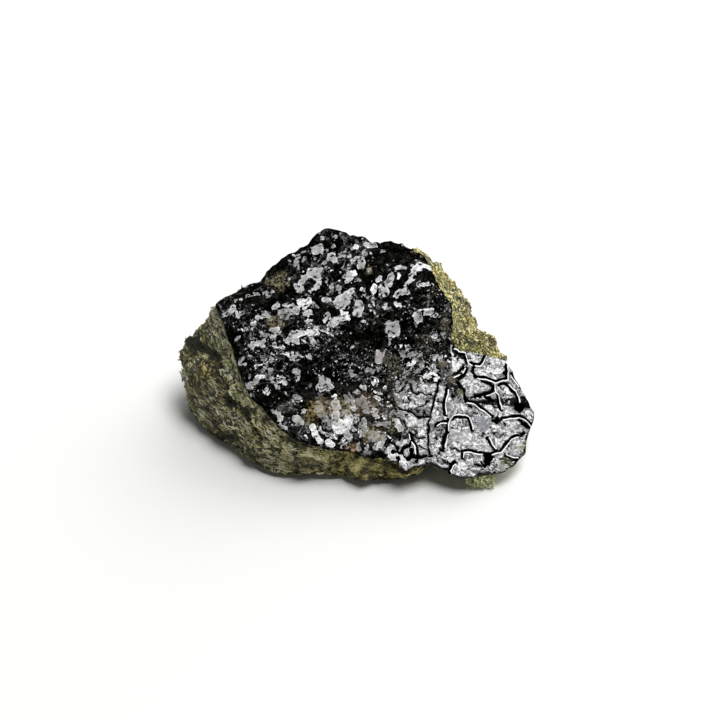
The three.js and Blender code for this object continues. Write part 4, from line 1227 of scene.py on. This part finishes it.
def rockMaterial():
    # interlocking crystals, long ones that follow the rim on the west side and crumbs elsewhere, each
    # with its own tone and dark at its border; pale strands and dark cracks wander between them.
    # Patches turn green or golden, and where the side is dark the rock just below the crust is darkened:
    # partly scorched, partly painted shade
    look, kit = rockLook, Kit(bpy.data.materials.new("broken_olive_rock"))
    place, fibrous = kit.place(), kit.attribute("fibrous")
    wrapped = kit.node("ShaderNodeCombineXYZ", {}, {
        0: kit.attribute("along") * look["fibre"][0], 1: kit.attribute("down") * look["fibre"][1]})
    fibres, crumbs = kit.stirred(wrapped, *look["fibreStir"]), kit.stirred(place, *look["crumbStir"])
    patches, fine = kit.grain(place, *look["patches"]), kit.grain(place, *look["fine"])
    own = kit.between(kit.cell(crumbs, look["crumb"]), kit.cell(fibres, 1.0), fibrous)
    border = kit.between(kit.border(crumbs, look["crumb"]), kit.border(fibres, 1.0), fibrous)
    strand, crack = (
        kit.step(kit.away(kit.between(
            kit.grain(place, *look[kind + "Crumb"]), kit.grain(fibres, *look[kind + "Fibre"]), fibrous,
        ), look[kind + "Middle"]), *look[kind + "Half"]) for kind in ("strand", "crack"))

    # the tone that the mesh holds brings the painted shade along the west crease and on the south-west side
    value = kit.attribute("tone") + (own - 0.5) * look["ownSpread"] + (patches - 0.5) * look["patchSpread"]
    value = value + (fine - 0.5) * look["fineSpread"] + strand * look["strands"] * patches
    value = value * kit.step(border, 0.0, look["gap"]) * (1.0 - crack * look["cracks"])
    colour = kit.ramp(value, tones)
    colour = kit.mixColour(fibrous, kit.mixColour(1.0, colour, eastTint, "MULTIPLY"), colour)
    for tint in ("green", "gold"):
        some = kit.step(kit.grain(place, *look[tint + "At"]), *look[tint + "Run"])
        colour = kit.mixColour(some, colour, kit.mixColour(1.0, colour, look[tint], "MULTIPLY"))
    # painted shade and scorch: where the side is dark, the rock just below the crust turns near black
    depth = kit.attribute("depth") + (patches - 0.5) * look["scorchAndShadeSpread"]
    scorchedAndShaded = kit.step(depth, look["scorchAndShadeDepth"], 0.0)
    scorchedAndShaded = scorchedAndShaded * (1.0 - kit.step(kit.attribute("tone"), *look["scorchAndShadeTone"]))
    colour = kit.mixColour(scorchedAndShaded, colour, look["scorchAndShade"])

    relief = own * look["ownRise"] + kit.step(border, 0.0, look["riseGap"]) * look["gapRise"]
    relief = relief + fine * look["fineRise"] + strand * look["strandRise"] - crack * look["crackFall"]
    return kit.finish(kit.node("ShaderNodeBsdfPrincipled", {}, {
        "Base Color": colour, "Roughness": look["roughness"], "IOR": look["ior"],
        "Normal": kit.bump(relief, look["bump"], look["bumpDepth"])}))


def crustMaterial():
    # a rough soot-black ground with black glass on it: the placed glints, rounded blobs and specks
    # strewn round them, the plates of the lobe, and the crest of each fold. All of it lies parallel to
    # the lobe. Folds have a flank of painted shade, wide on one side, and grooves and hollows are painted
    # black as shade. Marks dull and colour the crust in specks
    look, kit = crustLook, Kit(bpy.data.materials.new("black_glassy_crust"))
    place = kit.place()
    stretched = kit.turned(place, look["grainTurn"], look["grainStretch"])
    plate, flat, stipple = (kit.attribute(name) for name in ("plate", "flat", "stipple"))
    ragged, streaks = (kit.grain(stretched, *look[name]) for name in ("raggedGrain", "streaks"))
    mottle, patches, fine = (kit.grain(place, *look[name]) for name in ("mottle", "patches", "fine"))

    # plates
    plates = kit.step(flat + (ragged - 0.5) * look["ragged"] + plate * look["plateFlat"], *look["plateRun"])
    onPlates = kit.between(1.0, kit.step(mottle, *look["holes"]), look["plateHoles"])
    plates = plates * kit.between(look["shapeShine"], onPlates, plate)
    creases = kit.step(kit.away(kit.grain(place, *look["creases"]), 0.5), *look["crease"])
    plates = plates * (1.0 - creases * look["creaseDark"])

    # glints, with a ragged border, and cracked but for their lip
    edge = (ragged - 0.5) * look["glintRagged"] + (fine - 0.5) * look["fineRagged"]
    edge = edge + (kit.cell(stretched, look["facetSize"]) - 0.5) * look["facetRagged"]
    inside = kit.attribute("glintIn") + edge
    lip = kit.step(inside, *look["lip"])
    cracks = kit.step(streaks - kit.attribute("glintTone") * look["whole"], *look["cracks"])
    glint = kit.step(inside, *look["glintRun"]) * (1.0 - cracks * (1.0 - lip))

    # cobbles on the lumps, then blobs and specks by chance, then scratches
    stirred, kneaded = kit.stirred(place, *look["stir"]), kit.stirred(place, *look["knead"])
    blob = kit.step(kit.border(kneaded, look["cobble"]), *look["cobbleGap"])
    blob = blob * kit.step(look["cobbleChance"] - kit.cell(kneaded, look["cobble"]), *look["chosenRun"])
    blob = blob * kit.step(kit.attribute("lump"), *look["lumpRun"])
    dim = kit.cell(kneaded, look["cobble"], 1) * look["dimSpread"] + look["cobbleDim"]
    limits = [
        (scale, (patches - 0.5) * spread + chance, size) for scale, chance, spread, size in look["blobs"]]
    limits = limits + [(scale, stipple * chance, size) for scale, chance, size in look["stipple"]]
    for scale, limit, size in limits:
        here = kit.step(limit - kit.cell(stirred, scale), *look["chosenRun"])
        here = here * kit.step(kit.middle(stirred, scale), size + look["spotEdge"], size - look["spotEdge"])
        blob, dim = kit.larger(blob, here), kit.between(dim, kit.cell(stirred, scale, 1), here)
    scratched = kit.step(patches + stipple * look["scratchStipple"], *look["scratched"])
    for turn in look["scratchTurns"]:
        drawn = kit.turned(stirred, turn, look["scratchStretch"])
        lines = kit.step(kit.border(drawn, look["scratch"]), *look["scratchHalf"])
        blob = kit.larger(blob, lines * scratched * look["scratchShine"])
    blob = blob * (1.0 - plate) * kit.between(1.0, kit.step(fine, *look["pitRun"]), look["pits"])

    # folds and grooves, with painted shade on a fold's flank and in grooves and hollows
    off, wander = kit.attribute("foldOff"), (ragged - 0.5) * look["foldWander"]
    crestHalf, (crestOut, crestIn) = look["crest"] + wander * look["crestWander"], look["crestRun"]
    crest = kit.step(off, crestHalf + crestOut, crestHalf - crestIn)
    reach = look["flankShade"] + kit.attribute("foldSide") * look["flankSide"] + wander
    flankShade = kit.step(off, reach + look["flankRun"], reach - look["flankRun"])
    outside = kit.attribute("blackOff") + wander * look["blackWander"]
    grooveShade = kit.step(outside, *look["blackRun"])
    # in the painted shade of flanks, grooves and hollows the glass gives way to the matt ground
    shine = kit.larger(kit.larger(glint, blob), plates)
    shine = kit.larger(shine * (1.0 - flankShade), crest) * (1.0 - grooveShade)

    # colour: the marks, one of them a painted highlight
    dull = kit.attribute("dull") * look["dullShare"]
    dull = kit.step(dull + (kit.grain(place, *look["specks"]) - 0.5) * look["dullSpread"], *look["speckRun"])
    ground = kit.ramp(mottle * look["groundShare"] + fine * look["groundShare"], look["ground"])
    # painted shade: fold flanks, grooves and hollows take the darkest colour of the ground
    ground = kit.mixColour(kit.larger(flankShade, grooveShade), ground, look["ground"][0][1])
    colour = kit.mixColour(dull, ground, kit.attribute("mark", "Color"))

    # the way that the surface faces, and how rough it is
    bump = kit.bump(ragged + mottle * look["fineShare"], look["bump"], look["bumpDepth"])
    level = look["flatLevel"] + plate * look["plateLevel"]
    level = kit.larger(kit.larger(glint, blob) * look["glintLevel"], level)
    way = kit.mixWay(kit.larger(level, crest) * shine, bump, Vector(look["flatWay"]).normalized())
    rims = kit.larger(kit.step(off, look["rimWide"] + look["rimStart"], look["rimStart"]),
                      kit.step(outside, look["rimWide"], 0.0))
    onPlate = look["plateRough"] + (kit.grain(place, *look["grit"]) - 0.5) * look["gritSpread"]
    onPlate = onPlate + rims * look["rimRough"]
    rough = kit.between(look["shapeRough"], onPlate, plate) + (mottle - 0.5) * look["roughSpread"]
    onBlob = look["blobRough"] + dim * look["blobSpread"] + (mottle - 0.5) * look["blobMottle"]
    onGlint = look["dullRough"] - kit.attribute("glintTone") * look["toneRough"] - lip * look["lipRough"]
    onGlint = onGlint + (streaks - 0.5) * look["streakSpread"]
    rough = kit.between(kit.between(rough, onBlob, blob), onGlint, glint) + dull * look["dullness"]
    rough = kit.between(kit.larger(rough, look["leastRough"]), look["crestRough"], crest)
    glass = kit.node("ShaderNodeBsdfPrincipled", {}, {
        "Base Color": colour, "Roughness": rough, "IOR": look["ior"], "Normal": way})
    matt = kit.node("ShaderNodeBsdfPrincipled", {}, {
        "Base Color": colour, "Roughness": look["mattRough"], "Specular IOR Level": look["mattShine"],
        "Normal": bump})
    return kit.finish(kit.node("ShaderNodeMixShader", {}, {0: shine, 1: matt, 2: glass}))


def grainMaterial():
    # each grain has its own colour, slightly clouded
    look, kit = grainLook, Kit(bpy.data.materials.new("crystal_grain"))
    cloud = kit.grain(kit.place(), *look["clouds"])
    colour = kit.mixColour(cloud * look["cloud"], kit.attribute("tint", "Color"), look["dark"])
    return kit.finish(kit.node("ShaderNodeBsdfPrincipled", {}, {
        "Base Color": colour, "Roughness": look["roughness"], "IOR": look["ior"]}))


makeRock(rockMaterial())
makeCrust(crustMaterial())
grain = grainMaterial()
makeGrains(grain)
makeTuft(grain)

# The studio: a way points from the stone towards a light; radiances are of the lamp and of the world
studio = dict(
    floorColour=(0.84, 0.84, 0.825), floorSize=1.2, floorRough=0.9, floorShine=0.2,
    keyWay=(0.25, 0.12, 0.96), keyHalfAngle=15, keyRadiance=11.5, lampAway=0.25,
    worldTint=(0.97, 0.98, 1.0), dimWay=(0.1, -0.25, 0.96), dim=0.035, dimFrom=0.88, bright=0.21,
    brightUpTo=0.30, backWay=(0.55, 0.70, 0.45), back=3.2, backRun=(0.72, 0.95),
)
shot = dict(aim=(0.129, -0.115, 3.0), elevation=50, lens=200, away=172.4, sensor=36, clip=(0.01, 5.0))


def makeFloor():
    # a plain pale sheet at height 0
    kit = Kit(bpy.data.materials.new("pale_paper"))
    half = studio["floorSize"] / 2
    shader = kit.node("ShaderNodeBsdfPrincipled", {}, {
        "Base Color": (*studio["floorColour"], 1), "Roughness": studio["floorRough"],
        "Specular IOR Level": studio["floorShine"]})
    mesh = bpy.data.meshes.new("floor")
    corners = [(-half, -half, 0), (half, -half, 0), (half, half, 0), (-half, half, 0)]
    mesh.from_pydata(corners, [], [(0, 1, 2, 3)])
    mesh.materials.append(kit.finish(shader))
    floor = bpy.data.objects.new("floor", mesh)
    bpy.context.collection.objects.link(floor)


def makeKeyLamp():
    # a round soft lamp facing the stone, as wide as its half angle says; its power is radiance times
    # pi times its area
    way, away = Vector(studio["keyWay"]).normalized(), studio["lampAway"]
    radius = away * math.tan(math.radians(studio["keyHalfAngle"]))
    data = bpy.data.lights.new("key", "AREA")
    data.shape, data.size = "DISK", 2 * radius
    data.energy = studio["keyRadiance"] * math.pi * math.pi * radius ** 2
    lamp = bpy.data.objects.new("key", data)
    lamp.location = way * away
    lamp.rotation_euler = way.to_track_quat("Z", "Y").to_euler()
    bpy.context.collection.objects.link(lamp)


def makeCamera():
    # looks along +Y and down by its elevation at a point in the stone
    data = bpy.data.cameras.new("camera")
    data.lens, data.sensor_width = shot["lens"], shot["sensor"]
    data.clip_start, data.clip_end = shot["clip"]
    camera = bpy.data.objects.new("camera", data)
    tilt = math.radians(shot["elevation"])
    back = Vector((0, -math.cos(tilt), math.sin(tilt)))
    camera.location = (Vector(shot["aim"]) + back * shot["away"]) * metre
    camera.rotation_euler = (math.pi / 2 - tilt, 0, 0)
    bpy.context.collection.objects.link(camera)
    bpy.context.scene.camera = camera


def makeWorld():
    # soft light from all round, dimmer in a wide patch overhead, where the camera's stand is in the way,
    # and brighter behind the stone on its right
    world = bpy.data.worlds.new("studio")
    kit = Kit(world)
    way = kit.node("ShaderNodeTexCoord", output="Generated")
    toPatch, toBack = (kit.node("ShaderNodeVectorMath", {"operation": "DOT_PRODUCT"}, {
        0: way, 1: Vector(studio[name]).normalized()}, output="Value") for name in ("dimWay", "backWay"))
    dim, bright = (tuple(studio[name] * part for part in studio["worldTint"]) for name in ("dim", "bright"))
    light = kit.ramp(toPatch, [(studio["brightUpTo"], bright), (studio["dimFrom"], dim)], "EASE")
    light = kit.mixColour(kit.step(toBack, *studio["backRun"]), light, (studio["back"],) * 3)
    shader = kit.node("ShaderNodeBackground", {}, {"Color": light, "Strength": 1.0})
    kit.node("ShaderNodeOutputWorld", {}, {"Surface": shader})
    bpy.context.scene.world = world
    bpy.context.scene.view_settings.view_transform = "Standard"


makeFloor()
makeKeyLamp()
makeWorld()
makeCamera()
print("studio set")
